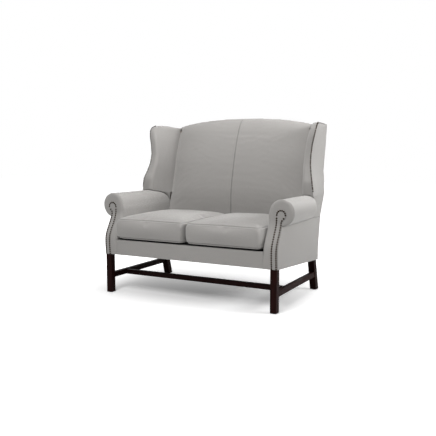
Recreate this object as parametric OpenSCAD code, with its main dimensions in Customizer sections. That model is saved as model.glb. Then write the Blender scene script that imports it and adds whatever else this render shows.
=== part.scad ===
// High back settee: two loose seat cushions in a winged, scroll armed frame on square legs.
// Millimetres. X runs across the settee, -Y is the front, Z is up, and the origin is on the
// floor in the middle of the settee's footprint.

/* [Base] */
// Thickness of each front leg
front_leg_s = 40; // [30:1:60]
// Thickness of each rear leg
rear_leg_s = 43; // [30:1:60]
// Distance that each rear foot stands behind the top of its leg
rear_rake = 57; // [0:1:120]
// Height of the front of the seat frame's underside
frame_z = 250; // [180:1:320]
// Drop of the seat frame's underside from front to rear
frame_drop = 46; // [0:1:80]
// Height of the stretchers' underside
stretcher_z = 92; // [50:1:120]
// Height of each stretcher
stretcher_h = 34; // [24:1:45]
// Width of each stretcher
stretcher_w = 25; // [18:1:32]
// Distance of the cross stretcher behind the front of the front legs
cross_stretcher_y = 173; // [80:1:300]

/* [Seat] */
// Height of the top of the seat rails
rail_z = 337; // [318:1:345]
// Height of the deck that the cushions lie on
deck_z = 354; // [352:1:365]
// Height of the cushions at their top seam
cushion_seam_z = 478; // [455:1:490]
// Rise of each cushion's crown above its seam
cushion_crown = 27; // [10:1:40]
// Distance from the cushions' front to the front of the inside back
seat_depth = 603; // [560:1:640]
// Width of the seat between the arms
seat_w = 1010; // [900:1:1400]

/* [Arms] */
// Width of each arm from the seat's side to the outside of the legs
arm_w = 84; // [78:1:100]
// Height of the middle of the arm rolls
roll_z = 560; // [555:1:580]
// Radius of the arm rolls
roll_r = 76; // [72:1:82]
// Set back of the arms' front between the seat and the roll
arm_set_back = 72; // [40:1:90]
// Width of the facing below its scroll
facing_w = 40; // [30:1:44]
// Radius of the facing's scroll
facing_r = 32; // [28:1:36]

/* [Back] */
// Overall height
back_h = 1131; // [1110:1:1180]
// Drop of the back's bowed top from its middle to its sides
bow = 46; // [20:1:60]
// Distance of the wings' lower front edge before the foot of the outside back
wing_reach = 213; // [190:1:240]
// Outward flare of the wings' lower front edge
wing_flare = 41; // [20:1:45]
// Lean of the outside back, in degrees
back_lean = 9.5; // [8:0.1:11]

/* [Nails] */
// Radius of a nail's head
nail_r = 4.75; // [3:0.05:5.2]
// Rise of a nail's head
nail_rise = 2.4; // [1:0.1:3]
// Distance from nail to nail
nail_pitch = 12.5; // [11:0.1:30]

/* [Hidden] */

// Clearance between pieces that rest on each other along a curve
fit = 0.3;
// Overrun of every cut
over = 1;
// Thickness of the covered outside panels
panel_t = 5;
// Thickness of the padding on the front of the frame
front_pad = 11;
// Thickness of the facing
facing_t = 3;
// Thickness of the seat rails
rail_t = 26;
// Thickness of the webbing and of the dust cover
web_t = 2;
// Width of a strap of webbing
strap_w = 50;

// Places across the settee, for the side at +X
panel_proud = 6;
leg_out = seat_w / 2 + arm_w;
panel_out = leg_out + panel_proud;
panel_in = panel_out - panel_t;
seat_half = seat_w / 2;
arm_pad_t = 25;
frame_in = seat_half + arm_pad_t + fit;
frame_out = panel_in - panel_t;
roll_x = panel_out - panel_t * 2;
roll_wall = panel_out - web_t;

// Places from front to rear, measured from the front of the front legs
lean_z = 292;
bulge = 4;
bulge_rise = 70;
cushion_front_y = -10;
back_front_y = cushion_front_y + seat_depth;
back_t = 93;
rear_y = back_front_y + back_t;
rear_leg_set = 63;
rear_leg_y = rear_y - rear_leg_set;
wing_y = rear_y - wing_reach;
roll_tail = 69;
roll_end_y = wing_y + roll_tail;
wing_h = back_h - bow;
frame_y = front_pad + facing_t;
rail_back_y = frame_y + rail_t;
roll_front_z = 525;
set_back_z = 345;

// y of the outside back's rear face at a height
function rear_at(z) = rear_y + tan(back_lean) * max(0, z - lean_z);
// z of the seat frame's underside
function under_at(y) = frame_z - frame_drop * y / rear_y;
// A share from 0 to 1 that starts and ends gently
function ease(t) = let (c = min(1, max(0, t))) c * c * (3 - 2 * c);
// A value in a table of shares, at a place from 0 to 1 along it
function at_share(table, t) =
    let (n = len(table) - 1, i = min(n - 1, floor(t * n)), f = t * n - i)
    table[i] * (1 - f) + table[i + 1] * f;
// y of the arms' and front border's face at a height
function face_at(z) =
    -bulge * ease((z - frame_z) / bulge_rise)
    + (arm_set_back) * ease((z - set_back_z) / (roll_front_z - set_back_z));

// Heights that every piece on the curved front shares, up to the crease under the roll
crease_z = roll_z - roll_r;
front_steps = 14;
front_zs = [for (i = [0:front_steps]) frame_z + (crease_z - frame_z) * i / front_steps];
// The shared heights between two heights, with both of these
function heights(low, high) = [
    low, each [for (z = front_zs) if (z > low + over && z < high - over) z], high
];
// Even heights over the crease, fine enough for the curve
function upper(high) = let (n = ceil((high - crease_z) / front_pad)) [
    for (i = [1:n]) crease_z + (high - crease_z) * i / n
];

// The middle of the footprint, which becomes the origin
back_top_drop = 22;
top_rear_y = rear_at(back_h - back_top_drop);
mid_y = (cushion_front_y + top_rear_y) / 2;

wood_c = [0.16, 0.05, 0.04];
frame_c = [0.78, 0.62, 0.42];
fabric_c = [0.72, 0.71, 0.69];
cloth_c = [0.07, 0.07, 0.07];
nail_c = [0.22, 0.17, 0.13];

// Moves a piece from its drawn place to its place about the origin
module placed(side = 1) {
    if (side < 0) mirror([1, 0, 0]) translate([0, -mid_y, 0]) children();
    else translate([0, -mid_y, 0]) children();
}

// A board cut to an outline in y and z, from x = a to x = b
module board(a, b, outline) {
    translate([a, 0, 0]) rotate([90, 0, 90]) linear_extrude(height = b - a) polygon(outline);
}

// A box between two corners
module box(low, high) {
    translate(low) cube(high - low);
}

// A closed piece between two grids of points: the face that shows and the face behind it
module slab(face, behind) {
    rows = len(face);
    cols = len(face[0]);
    count = rows * cols;
    function id(j, i) = j * cols + i;
    grid = [for (j = [0:rows - 2]) for (i = [0:cols - 2]) each [
        [id(j, i), id(j + 1, i), id(j + 1, i + 1)],
        [id(j, i), id(j + 1, i + 1), id(j, i + 1)],
    ]];
    back_grid = [for (f = grid) [f[0] + count, f[2] + count, f[1] + count]];
    rim_ids = [
        each [for (i = [0:cols - 1]) id(0, i)],
        each [for (j = [1:rows - 1]) id(j, cols - 1)],
        each [for (i = [cols - 2:-1:0]) id(rows - 1, i)],
        each [for (j = [rows - 2:-1:1]) id(j, 0)],
    ];
    m = len(rim_ids);
    rim = [for (k = [0:m - 1]) let (a = rim_ids[k], b = rim_ids[(k + 1) % m]) each [
        [a, b, b + count],
        [a, b + count, a + count],
    ]];
    polyhedron(
        points = [each [for (r = face) each r], each [for (r = behind) each r]],
        faces = [each grid, each back_grid, each rim],
        convexity = 6
    );
}

// Base

dowel_r = 6;
dowel_len = 60;
glide_r = 12;
glide_h = 4;
bevel = 2;
rear_leg_in = leg_out - rear_leg_s;
stretch_out = leg_out - panel_proud / 2;
stretch_in = stretch_out - stretcher_w;
front_leg_x = leg_out - front_leg_s / 2;
rear_leg_x = leg_out - rear_leg_s / 2;
front_dowel_y = frame_y + rail_t / 2;
rear_dowel_y = rear_leg_y + rear_leg_s / 2;
foot_y = rear_leg_y + rear_rake;

module bored(x, y) {
    difference() {
        children();
        translate([x, y, under_at(y) - dowel_len / 2])
            cylinder(r = dowel_r + fit / 2, h = dowel_len, $fn = 24);
    }
}

module front_leg() {
    color(wood_c) bored(front_leg_x, front_dowel_y) intersection() {
        board(leg_out - front_leg_s, leg_out, [
            [0, glide_h], [front_leg_s, glide_h],
            [front_leg_s, under_at(front_leg_s) - fit / 2], [0, under_at(0) - fit / 2],
        ]);
        translate([front_leg_x, front_leg_s / 2, glide_h]) linear_extrude(height = frame_z) polygon([
            for (a = [0:90:270]) each [
                [for (i = [0:1]) (i == 0 ? front_leg_s / 2 : front_leg_s / 2 - bevel)]
                    * [[cos(a), sin(a)], [-sin(a), cos(a)]],
                [for (i = [0:1]) (i == 1 ? front_leg_s / 2 : front_leg_s / 2 - bevel)]
                    * [[cos(a), sin(a)], [-sin(a), cos(a)]],
            ],
        ]);
    }
}

module rear_leg() {
    color(wood_c) bored(rear_leg_x, rear_dowel_y)
        board(rear_leg_in, leg_out, [
            [foot_y, glide_h], [foot_y + rear_leg_s, glide_h],
            [rear_leg_y + rear_leg_s, under_at(rear_leg_y + rear_leg_s) - fit / 2],
            [rear_leg_y, under_at(rear_leg_y) - fit / 2],
        ]);
}

// y of a rear leg's front face at a height
function rear_leg_at(z) =
    foot_y - rear_rake * (z - glide_h) / (under_at(rear_leg_y) - fit / 2 - glide_h) - fit / 3;

module side_stretcher() {
    color(wood_c) board(stretch_in, stretch_out, [
        [front_leg_s, stretcher_z], [rear_leg_at(stretcher_z), stretcher_z],
        [rear_leg_at(stretcher_z + stretcher_h), stretcher_z + stretcher_h],
        [front_leg_s, stretcher_z + stretcher_h],
    ]);
}

module cross_stretcher() {
    color(wood_c) box(
        [-stretch_in, cross_stretcher_y, stretcher_z],
        [stretch_in, cross_stretcher_y + stretcher_w, stretcher_z + stretcher_h - bevel * 2]
    );
}

module leg_glides() {
    color("dimgray") for (side = [-1, 1]) {
        translate([side * front_leg_x, front_leg_s / 2, 0])
            cylinder(r = glide_r, h = glide_h, $fn = 24);
        translate([side * rear_leg_x, foot_y + rear_leg_s / 2, 0])
            cylinder(r = glide_r, h = glide_h, $fn = 24);
    }
}

module leg_dowels() {
    color(frame_c) for (side = [-1, 1]) {
        translate([side * front_leg_x, front_dowel_y, under_at(front_dowel_y) - dowel_len / 2])
            cylinder(r = dowel_r, h = dowel_len, $fn = 24);
        translate([side * rear_leg_x, rear_dowel_y, under_at(rear_dowel_y) - dowel_len / 2])
            cylinder(r = dowel_r, h = dowel_len, $fn = 24);
    }
}

// Seat frame

side_rail_t = 28;
side_rail_in = frame_out - side_rail_t;
rail_end_y = rear_y - panel_t - fit;
deck_front_y = rail_back_y + fit;
deck_half = seat_half - fit * 2;
deck_rear_y = back_front_y - fit;
web_z = rail_z;
block_s = 70;
block_drop = 30;

module front_seat_rail() {
    color(frame_c) bored(front_leg_x, front_dowel_y) bored(-front_leg_x, front_dowel_y)
        board(-frame_out, frame_out, [
            [frame_y, under_at(frame_y)], [rail_back_y, under_at(rail_back_y)],
            [rail_back_y, rail_z], [frame_y, rail_z],
        ]);
}

module side_seat_rail() {
    color(frame_c) bored(rear_leg_x, rear_dowel_y)
        board(side_rail_in, frame_out, [
            [rail_back_y, under_at(rail_back_y)], [rail_end_y, under_at(rail_end_y)],
            [rail_end_y, rail_z], [rail_back_y, rail_z],
        ]);
}

module rear_seat_rail() {
    color(frame_c) board(-side_rail_in, side_rail_in, [
        [rail_end_y - rail_t, under_at(rail_end_y - rail_t)], [rail_end_y, under_at(rail_end_y)],
        [rail_end_y, rail_z], [rail_end_y - rail_t, rail_z],
    ]);
}

module centre_seat_rail() {
    color(frame_c) board(-rail_t / 2, rail_t / 2, [
        [rail_back_y, under_at(rail_back_y) + block_drop],
        [rail_end_y - rail_t, under_at(rail_end_y - rail_t) + block_drop],
        [rail_end_y - rail_t, rail_z], [rail_back_y, rail_z],
    ]);
}

// A corner block with its square corner at a point, its long side towards the seat's middle
module corner_block(x, y, sx, sy) {
    translate([x, y, frame_z + web_t]) linear_extrude(height = rail_z - frame_z - block_drop)
        polygon([[0, 0], [sx * block_s, 0], [0, sy * block_s]]);
}

module corner_blocks() {
    color(frame_c) for (side = [-1, 1]) {
        corner_block(side * side_rail_in, rail_back_y, -side, 1);
        corner_block(side * side_rail_in, rail_end_y - rail_t, -side, -1);
    }
}

// Straps from rail to rail over the seat, the long ones on the short ones
module seat_webbing() {
    across = 5;
    deep = 9;
    low_y = rail_back_y + strap_w;
    high_y = deck_rear_y - strap_w * 2;
    color([0.55, 0.5, 0.4]) {
        for (i = [0:deep - 1])
            let (x = -seat_half + strap_w + (seat_w - strap_w * 2) * i / (deep - 1))
                box([x - strap_w / 2, frame_y + front_pad + web_t, web_z],
                    [x + strap_w / 2, rail_end_y - web_t, web_z + web_t]);
        for (i = [0:across - 1])
            let (y = low_y + (high_y - low_y) * i / (across - 1))
                box([-frame_in, y - strap_w / 2, web_z + web_t],
                    [frame_in, y + strap_w / 2, web_z + web_t * 2]);
    }
}

module seat_deck() {
    color(cloth_c)
        box([-deck_half, deck_front_y, web_z + web_t * 2], [deck_half, deck_rear_y, deck_z - fit]);
}

module dust_cover() {
    color(cloth_c) board(-side_rail_in, side_rail_in, [
        [rail_back_y, under_at(rail_back_y)],
        [rail_end_y - rail_t, under_at(rail_end_y - rail_t)],
        [rail_end_y - rail_t, under_at(rail_end_y - rail_t) + web_t],
        [rail_back_y, under_at(rail_back_y) + web_t],
    ]);
}

// Arm frame and back frame

post_w = 40;
post_in = frame_out - post_w;
post_t = 35;
board_t = 25;
arm_cap = 26;
arm_top_z = roll_z + roll_r - arm_cap;
arm_board_z = arm_top_z - board_t - fit;
back_post_t = 45;
behind_t = panel_t + fit;
post_drop = 60;
post_top_z = wing_h - post_drop;
front_gap = front_pad + facing_t + fit * 2;

// Front and rear y of the back posts at a height
function post_rear(z) = rear_at(z) - behind_t;
function post_front(z) = post_rear(z) - back_post_t;

module arm_post() {
    zs = [each heights(rail_z, crease_z), each upper(arm_board_z)];
    color(frame_c) board(post_in, frame_out, [
        each [for (z = zs) [face_at(z) + front_gap, z]],
        each [for (i = [len(zs) - 1:-1:0]) [face_at(zs[i]) + front_gap + post_t, zs[i]]],
    ]);
}

module arm_board() {
    color(frame_c) box(
        [frame_in + panel_t, face_at(roll_front_z) + front_gap + fit, arm_board_z],
        [frame_out, post_front(arm_board_z) - fit, arm_top_z - fit]
    );
}

module back_post() {
    color(frame_c) board(post_in, frame_out, [
        [post_front(rail_z), rail_z], [rail_end_y, rail_z], [post_rear(arm_board_z), arm_board_z],
        [post_rear(post_top_z), post_top_z], [post_front(post_top_z), post_top_z],
    ]);
}

top_rail_reach = 130;
top_rail_z = back_h - top_rail_reach;
top_rail_drop = 45;

module back_top_rail() {
    steps = 12;
    xs = [for (i = [0:steps]) -post_in + 2 * post_in * i / steps];
    color(frame_c) multmatrix([
        [1, 0, 0, 0], [0, 1, tan(back_lean), post_rear(0) - rear_at(0) + rear_y - tan(back_lean) * lean_z],
        [0, 0, 1, 0], [0, 0, 0, 1],
    ]) rotate([90, 0, 0]) linear_extrude(height = rail_t - fit) polygon([
        [-post_in, top_rail_z - bow], [post_in, top_rail_z - bow],
        each [for (i = [steps:-1:0]) [xs[i], crown_at(xs[i]) - top_rail_drop]],
    ]);
}

// z of the back's bowed top at a place across it
function crown_at(x) = back_h - bow * pow(min(1, abs(x) / seat_half), 2.5);

module back_lower_rail() {
    low = deck_z + front_pad * 4;
    color(frame_c) board(-post_in, post_in, [
        [post_rear(low) - rail_t, low], [post_rear(low), low],
        [post_rear(low + rail_t * 2), low + rail_t * 2],
        [post_rear(low + rail_t * 2) - rail_t, low + rail_t * 2],
    ]);
}

module back_webbing() {
    straps = 9;
    low = deck_z + front_pad * 4;
    high = top_rail_z - bow + rail_t;
    color([0.55, 0.5, 0.4]) for (i = [0:straps - 1])
        let (x = -seat_half + strap_w + (seat_w - strap_w * 2) * i / (straps - 1))
            board(x - strap_w / 2, x + strap_w / 2, [
                [post_rear(low) - rail_t - web_t, low], [post_rear(low) - rail_t, low],
                [post_rear(high) - rail_t, high], [post_rear(high) - rail_t - web_t, high],
            ]);
}

// Wings: shares of the wing's height, depth, flare and thickness along its edge, from the
// bottom of its front up, round its corner and back along its top

wing_z = roll_z + roll_r + 1;
wing_waist_x = leg_out;
wing_base_t = 81;
wing_pad_t = 12;
wing_top_depth = 317;
wing_y_share = [0, 0.003, 0.076, 0.142, 0.189, 0.205, 0.215, 0.252, 0.312, 0.416, 0.558, 0.779, 1];
wing_z_share = [0, 0.17, 0.286, 0.408, 0.542, 0.692, 0.806, 0.911, 0.962, 0.991, 1, 0.996, 0.984];
wing_x_share = [1, 0.73, 0.37, 0.07, 0, 0.15, 0.41, 0.59, 0.56, 0.42, 0.3, 0.24, 0.22];
wing_t_share = [1, 0.864, 0.74, 0.667, 0.605, 0.58, 0.605, 0.53, 0.48, 0.457, 0.457, 0.48, 0.494];
core_y_share = [0.572, 0.651, 0.685, 0.725, 0.768, 0.841, 0.905, 0.945, 0.96, 0.968, 0.974, 0.979, 0.984];
core_z_share = [-0.056, 0.096, 0.185, 0.297, 0.431, 0.587, 0.743, 0.855, 0.911, 0.944, 0.958, 0.965, 0.97];
wing_rows = 24;

// Points along the wing: its nailed outer edge, and the line where it meets the inside back
function wing_edge(t) = [
    wing_waist_x + wing_flare * at_share(wing_x_share, t),
    wing_y + wing_top_depth * at_share(wing_y_share, t),
    wing_z + (wing_h - wing_z) * at_share(wing_z_share, t),
];
function wing_core(t) = [
    seat_half + fit,
    wing_y + wing_top_depth * at_share(core_y_share, t),
    wing_z + (wing_h - wing_z) * at_share(core_z_share, t),
];
// z of an arm roll's top under the wing
roll_clear = 3.2;
function roll_top(x) = roll_z + sqrt(max(0, pow(roll_r, 2) - pow(x - roll_x, 2))) + roll_clear;

// z of the wing's lower edge, which lies along the roll and comes down with its rounded end
function wing_floor(x, y) =
    let (z = roll_top(x), rest = arm_top_z + front_pad)
    z - max(0, z - rest) * ease((y - roll_end_y + roll_r) / roll_r)
        * ease((x - frame_in) / (roll_x - frame_in));

// One row of the wing from its nailed edge round its border and in to the back, on the face
// that shows or, inset, on the face on the frame
border_steps = 2;
turn_steps = 3;
inner_steps = 4;
function wing_row(t, inset) =
    let (
        e = wing_edge(t), c = wing_core(t), thick = wing_base_t * at_share(wing_t_share, t),
        run = [c.y - e.y, c.z - e.z], to = run / norm(run), r = thick * 0.42,
        corner_x = e.x - thick + r, pad = inset ? wing_pad_t : 0
    )
    [
        for (step = [0:border_steps + turn_steps + inner_steps])
            let (
                flat = min(1, step / border_steps),
                turn = 90 * min(1, max(0, step - border_steps) / turn_steps),
                u = max(0, step - border_steps - turn_steps) / inner_steps,
                lift = step == 0 ? (inset ? panel_t - fit : 0) : pad * cos(turn / 2),
                x = (e.x * (1 - flat) + corner_x * flat - r * sin(turn)) * (1 - u) + c.x * u
                    + (step == 0 ? 0 : pad * sin(turn)),
                away = r * (1 - cos(turn)) + lift,
                y = (e.y + to.x * away) * (1 - u) + c.y * u,
                z = (e.z + to.y * away) * (1 - u) + c.z * u
            )
            [x, y, t == 0 ? max(wing_floor(x, y), wing_floor(x, y) * (1 - u) + c.z * u) : z]
    ];

// A row carried back to the outside back
function to_rear(row) = [for (p = row) [p.x, post_rear(p.z) - fit, p.z]];

module wing_pad() {
    face = [for (j = [0:wing_rows]) wing_row(j / wing_rows, false)];
    behind = [for (j = [0:wing_rows]) wing_row(j / wing_rows, true)];
    color(fabric_c) slab(
        [each behind, to_rear(behind[wing_rows])],
        [each face, to_rear(face[wing_rows])]
    );
}

// x of the wing's outer face at its rear, which waists in and swells out over the arm
function wing_rear_x(z) =
    let (t = (z - wing_z) / (wing_h - wing_z))
    z < wing_z
        ? panel_out + wing_flare * 0.4 * ease((z - crease_z) / (wing_z - crease_z))
        : wing_waist_x + wing_flare * (0.55 * (1 - ease(t * 2.5)) + 0.22 * ease(t * 1.5));
wing_outer_cols = 4;

// The nailed edge's line, as far in as the panel's own edge
fan_t = 0.75;
function wing_panel_edge(t) =
    let (
        e = wing_edge(t), c = wing_core(t),
        run = [c.y - e.y, c.z - e.z], to = run / norm(run) * panel_t * 1.8
    )
    [e.x, e.y + to.x, e.z + to.y];

// The outer wing: rows behind the roll's rounded end, rows that fan from the nailed edge to the
// rear, then a last row along the top
module wing_outer() {
    low = crease_z + fit;
    below = [for (j = [0:4]) let (z = low + (wing_z - panel_t * 3 - low) * j / 4)
        [[wing_rear_x(z), roll_end_y + fit * 3, z], [wing_rear_x(z), post_rear(z), z]]];
    above = [for (j = [0:wing_rows * fan_t - 1])
        let (
            t = j / wing_rows, e = wing_panel_edge(t),
            z = wing_z + (wing_h - wing_z) * max(0, at_share(core_z_share, t))
        )
        [[e.x, e.y, t == 0 ? wing_floor(e.x, e.y) + fit : e.z], [wing_rear_x(z), post_rear(z), z + fit]]];
    function row(ends, inset) = [
        for (i = [0:wing_outer_cols])
            let (u = i / wing_outer_cols, p = ends[0] * (1 - u) + ends[1] * u)
            [ends[0].x * (1 - ease(u)) + ends[1].x * ease(u) - inset, p.y, p.z]
    ];
    function top_row(inset) = [
        for (i = [0:wing_outer_cols])
            let (
                t = fan_t + (1 - fan_t) * i / wing_outer_cols,
                e = i == 0 ? wing_panel_edge(t) : wing_edge(t) - [0, 0, panel_t * 1.5]
            )
            [e.x - inset, i == wing_outer_cols ? post_rear(e.z) : e.y, e.z]
    ];
    rows = [each below, each above];
    color(fabric_c) slab(
        [each [for (r = rows) row(r, 0)], top_row(0)],
        [each [for (r = rows) row(r, panel_t)], top_row(panel_t)]
    );
}

wing_post_y = 40;
wing_rail_t = 22;

post_ts = [for (j = [0:8]) 0.02 + 0.5 * j / 8];
// y of the wing post's rear at a height
function wing_post_rear(z) =
    lookup(z, [for (t = post_ts) [wing_edge(t).z, wing_edge(t).y + wing_post_y]]);

module wing_post() {
    color(frame_c) slab(
        [for (t = post_ts) let (e = wing_edge(t)) [
            [e.x - panel_t - fit - wing_rail_t, e.y + wing_post_y, e.z],
            [e.x - panel_t - fit - wing_rail_t, e.y + wing_pad_t + web_t * 2, e.z]]],
        [for (t = post_ts) let (e = wing_edge(t)) [
            [e.x - panel_t * 2, e.y + wing_post_y, e.z],
            [e.x - panel_t * 2, e.y + wing_pad_t + web_t * 2, e.z]]]
    );
}

module wing_rail(z) {
    top = z + wing_rail_t;
    color(frame_c) board(frame_out - panel_t * 3, frame_out, [
        [wing_post_rear(z) + fit, z], [post_front(z) - fit, z],
        [post_front(z) - fit, top], [wing_post_rear(top) + fit, top],
    ]);
}
module wing_bottom_rail() { wing_rail(wing_z + panel_t * 4); }
module wing_top_rail() { wing_rail(post_top_z - wing_rail_t * 2); }

// Covers of the front and arms

module front_border() {
    zs = heights(frame_z, rail_z);
    half = seat_half - fit;
    color(fabric_c) board(-half, half, [
        each [for (z = zs) [face_at(z) + facing_t, z]],
        [frame_y - fit, rail_z], [frame_y - fit, frame_z],
    ]);
}

arm_front_cols = 8;
arm_round = 20;

// Inner and outer x of the arm's front at a height
function arm_in_at(z) = z < roll_z ? seat_half : roll_x - sqrt(max(0, pow(roll_r, 2) - pow(z - roll_z, 2)));
function arm_out_at(z) =
    z < crease_z ? panel_in - fit : roll_x + sqrt(max(0, pow(roll_r, 2) - pow(z - roll_z, 2)));

module arm_front() {
    top = roll_z + roll_r * 0.985;
    zs = [
        each front_zs,
        each [for (a = [-78:12:78]) roll_z + roll_r * sin(a)],
        top,
    ];
    function dent(x, z) =
        let (
            d = z < roll_z ? x - arm_in_at(z) : roll_r - norm([x - roll_x, z - roll_z]),
            d2 = z > crease_z ? min(d, roll_r - norm([x - roll_x, z - roll_z])) : d,
            e = z > crease_z && z < roll_z && x < roll_x ? d : d2,
            k = max(0, arm_round - max(0, e))
        )
        arm_round - sqrt(max(0, pow(arm_round, 2) - pow(k, 2)));
    function row(z, back) = [
        for (i = [0:arm_front_cols])
            let (
                u = i / arm_front_cols,
                x = arm_in_at(z) * (1 - u) + arm_out_at(z) * u,
                rise = z > frame_z + bulge_rise ? dent(x, z) * 0.45 : 0
            )
            [x, face_at(z) + facing_t + (back ? front_pad : min(rise, front_pad - web_t)), z]
    ];
    color(fabric_c) slab([for (z = zs) row(z, false)], [for (z = zs) row(z, true)]);
}

arm_pad_rows = 10;
arm_end_set = 46;
arm_inner_end_y = rear_y - arm_end_set;
arm_pad_z = rail_z + web_t * 2 + fit;

// The arm's section: up the inner side and round the roll. Each point has its x and z, a share
// that says how far it follows the rounded rear end, and the turn round the roll that it is at
arm_turns = [180, 162, 144, 126, 108, 90, 66, 51, 36, 18, 0, -18, -36, -54, -72];
corner_turn = 66;
arm_section = [
    each [for (z = heights(arm_pad_z, crease_z)) [seat_half, z, 0, 180]],
    each [for (i = [1:3]) [seat_half, crease_z + roll_r * i / 4, 0, 180]],
    each [for (a = arm_turns)
        [roll_x + roll_r * cos(a), roll_z + roll_r * sin(a), ease((180 - a) / 110), a]],
    [panel_out, roll_z - sqrt(pow(roll_r, 2) - pow(panel_out - roll_x, 2)), 1, -90],
];
// The point on the arm's frame that is behind a point of the section
function arm_core(p) = [
    p[3] > 115 ? frame_in : min(p[0], roll_wall),
    min(p[1], arm_top_z - max(0, corner_turn - p[3]) / corner_turn * front_pad),
];

module arm_pad() {
    function row(t, back) = [
        for (p = arm_section)
            let (
                core = arm_core(p),
                late = ease((t - 0.84) / 0.16),
                y0 = face_at(p[1]) + front_gap + fit,
                y1 = arm_inner_end_y * (1 - p[2]) + roll_end_y * p[2],
                keep = 1 - 0.6 * late * p[2],
                out = core * (1 - keep) + [p[0], p[1]] * keep,
                s = back ? core : out
            )
            [s.x, y0 * (1 - t) + y1 * t, s.y]
    ];
    ts = [for (j = [0:arm_pad_rows]) j / arm_pad_rows];
    color(fabric_c) slab([for (t = ts) row(t, false)], [for (t = ts) row(t, true)]);
}

module outer_arm() {
    zs = heights(frame_z, crease_z - fit);
    color(fabric_c) board(panel_in, panel_out, [
        each [for (z = zs) [face_at(z) + facing_t + fit, z]],
        [post_rear(crease_z), crease_z - fit], [rear_y - behind_t, lean_z],
        [rear_y - behind_t, under_at(rear_y - behind_t)],
    ]);
}

// Facings

facing_in = leg_out - facing_w + web_t;
facing_out = facing_in + facing_w;
facing_x = facing_in + facing_r;
facing_z = roll_z - 11;
neck_z = facing_z - facing_r * 1.3;

// Inner and outer x of the facing at a height
function facing_left_at(z) =
    z < facing_z ? facing_in : facing_x - sqrt(max(0, pow(facing_r, 2) - pow(z - facing_z, 2)));
function facing_right_at(z) =
    z < neck_z ? facing_out
    : z < facing_z ? facing_out + (facing_x + facing_r - facing_out)
        * ease((z - neck_z) / (facing_z - neck_z))
    : facing_x + sqrt(max(0, pow(facing_r, 2) - pow(z - facing_z, 2)));

module facing() {
    zs = [
        each [for (z = front_zs) if (z < crease_z - over) z],
        each [for (i = [0:7]) crease_z + (facing_z - crease_z) * i / 8],
        each [for (a = [0:12:84]) facing_z + facing_r * sin(a)],
    ];
    function row(z, back) = [for (u = [0:0.5:1])
        [facing_left_at(z) * (1 - u) + facing_right_at(z) * u, face_at(z) + (back ? facing_t - fit : 0), z]];
    color(fabric_c) slab([for (z = zs) row(z, false)], [for (z = zs) row(z, true)]);
}

// A nail's head on a face that looks along a direction
module nail(at, look) {
    d = look / norm(look);
    translate(at + d * fit) rotate([0, acos(d.z), atan2(d.y, d.x)])
        cylinder(r1 = nail_r, r2 = nail_r * 0.5, h = nail_rise, $fn = 6);
}

nail_in = nail_r + panel_t / 4;
module facing_nails() {
    side_len = facing_z - frame_z - nail_r;
    count = floor(side_len / nail_pitch);
    arc_r = facing_r - nail_in;
    arc_steps = round(PI * arc_r / nail_pitch);
    function look(z) = [0, -over * 2, face_at(z + over) - face_at(z - over)];
    color(nail_c) {
        for (i = [0:count - 1])
            let (z = frame_z + nail_r + nail_pitch * i) {
                nail([facing_left_at(z) + nail_in, face_at(z), z], look(z));
                nail([facing_right_at(z) - nail_in, face_at(z), z], look(z));
            }
        for (i = [0:arc_steps])
            let (a = 180 * i / arc_steps, z = facing_z + arc_r * sin(a))
                nail([facing_x + arc_r * cos(a), face_at(z), z], look(z));
    }
}

// The share of the wing's edge that has nails, up to its top corner
nail_end_t = 0.8;

module wing_nails() {
    fine = 200;
    pts = [for (i = [0:fine]) wing_edge(i / fine)];
    lens = [for (i = 0, s = 0; i <= fine; i = i + 1, s = s + (i <= fine ? norm(pts[i] - pts[i - 1]) : 0)) s];
    count = floor(lens[round(fine * nail_end_t)] / nail_pitch) - 2;
    color(nail_c) for (k = [1:count])
        let (
            s = k * nail_pitch + nail_pitch,
            i = max([for (n = [0:fine - 1]) if (lens[n] <= s) n]),
            to = wing_core(i / fine) - pts[i],
            away = [to.y, to.z] / norm([to.y, to.z]),
            run = (pts[i + 1] - pts[i]) / norm(pts[i + 1] - pts[i]),
            out = [1, -away.x, -away.y]
        )
        nail(pts[i] + out * fit * 0.6, out - run * (run * out));
}

// Back: shares of height and lean up the middle of the inside back and over its top, for the
// face that shows and for the face on the frame

pad_z = rail_z + web_t * 2 + fit;
face_z_share = [0, 0.11, 0.2, 0.34, 0.44, 0.55, 0.68, 0.75, 0.85, 0.915, 0.955, 0.98, 0.995, 1, 0.992];
face_y_share = [0.01, 0, 0.015, 0.065, 0.15, 0.24, 0.345, 0.43, 0.54, 0.615, 0.7, 0.8, 0.895, 0.96, 1];
rear_z_share = [0, 0.11, 0.2, 0.34, 0.44, 0.55, 0.68, 0.75, 0.85, 0.92, 0.956, 0.957, 0.958, 0.958, 0.958];
pad_face_y = back_front_y + fit;
side_drop = 45;
back_cols = 14;

module inside_back() {
    steps = len(face_z_share) - 1;
    half = seat_half - fit;
    function row(j, back) = [
        for (i = [0:back_cols])
            let (
                q = sin(90 * (2 * i / back_cols - 1)),
                x = half * q,
                top = crown_at(x) - pad_z,
                v = j / steps,
                zf = pad_z + top * face_z_share[j],
                zb = pad_z + top * rear_z_share[j],
                lean = post_rear(crown_at(x) - back_top_drop) - fit * 2 - pad_face_y,
                fall = side_drop * pow(abs(q), 6) * ease(v * 3) * (1 - ease((v - 0.6) * 2.5)),
                w = max(0, (j - steps + 4) / 4),
                yb = (post_rear(zb) - rail_t - web_t - fit) * (1 - w) + post_rear(zb) * w
            )
            back ? [x, yb, zb] : [x, pad_face_y + lean * face_y_share[j] + fall, zf]
    ];
    color(fabric_c) slab([for (j = [0:steps]) row(j, false)], [for (j = [0:steps]) row(j, true)]);
}

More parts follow.
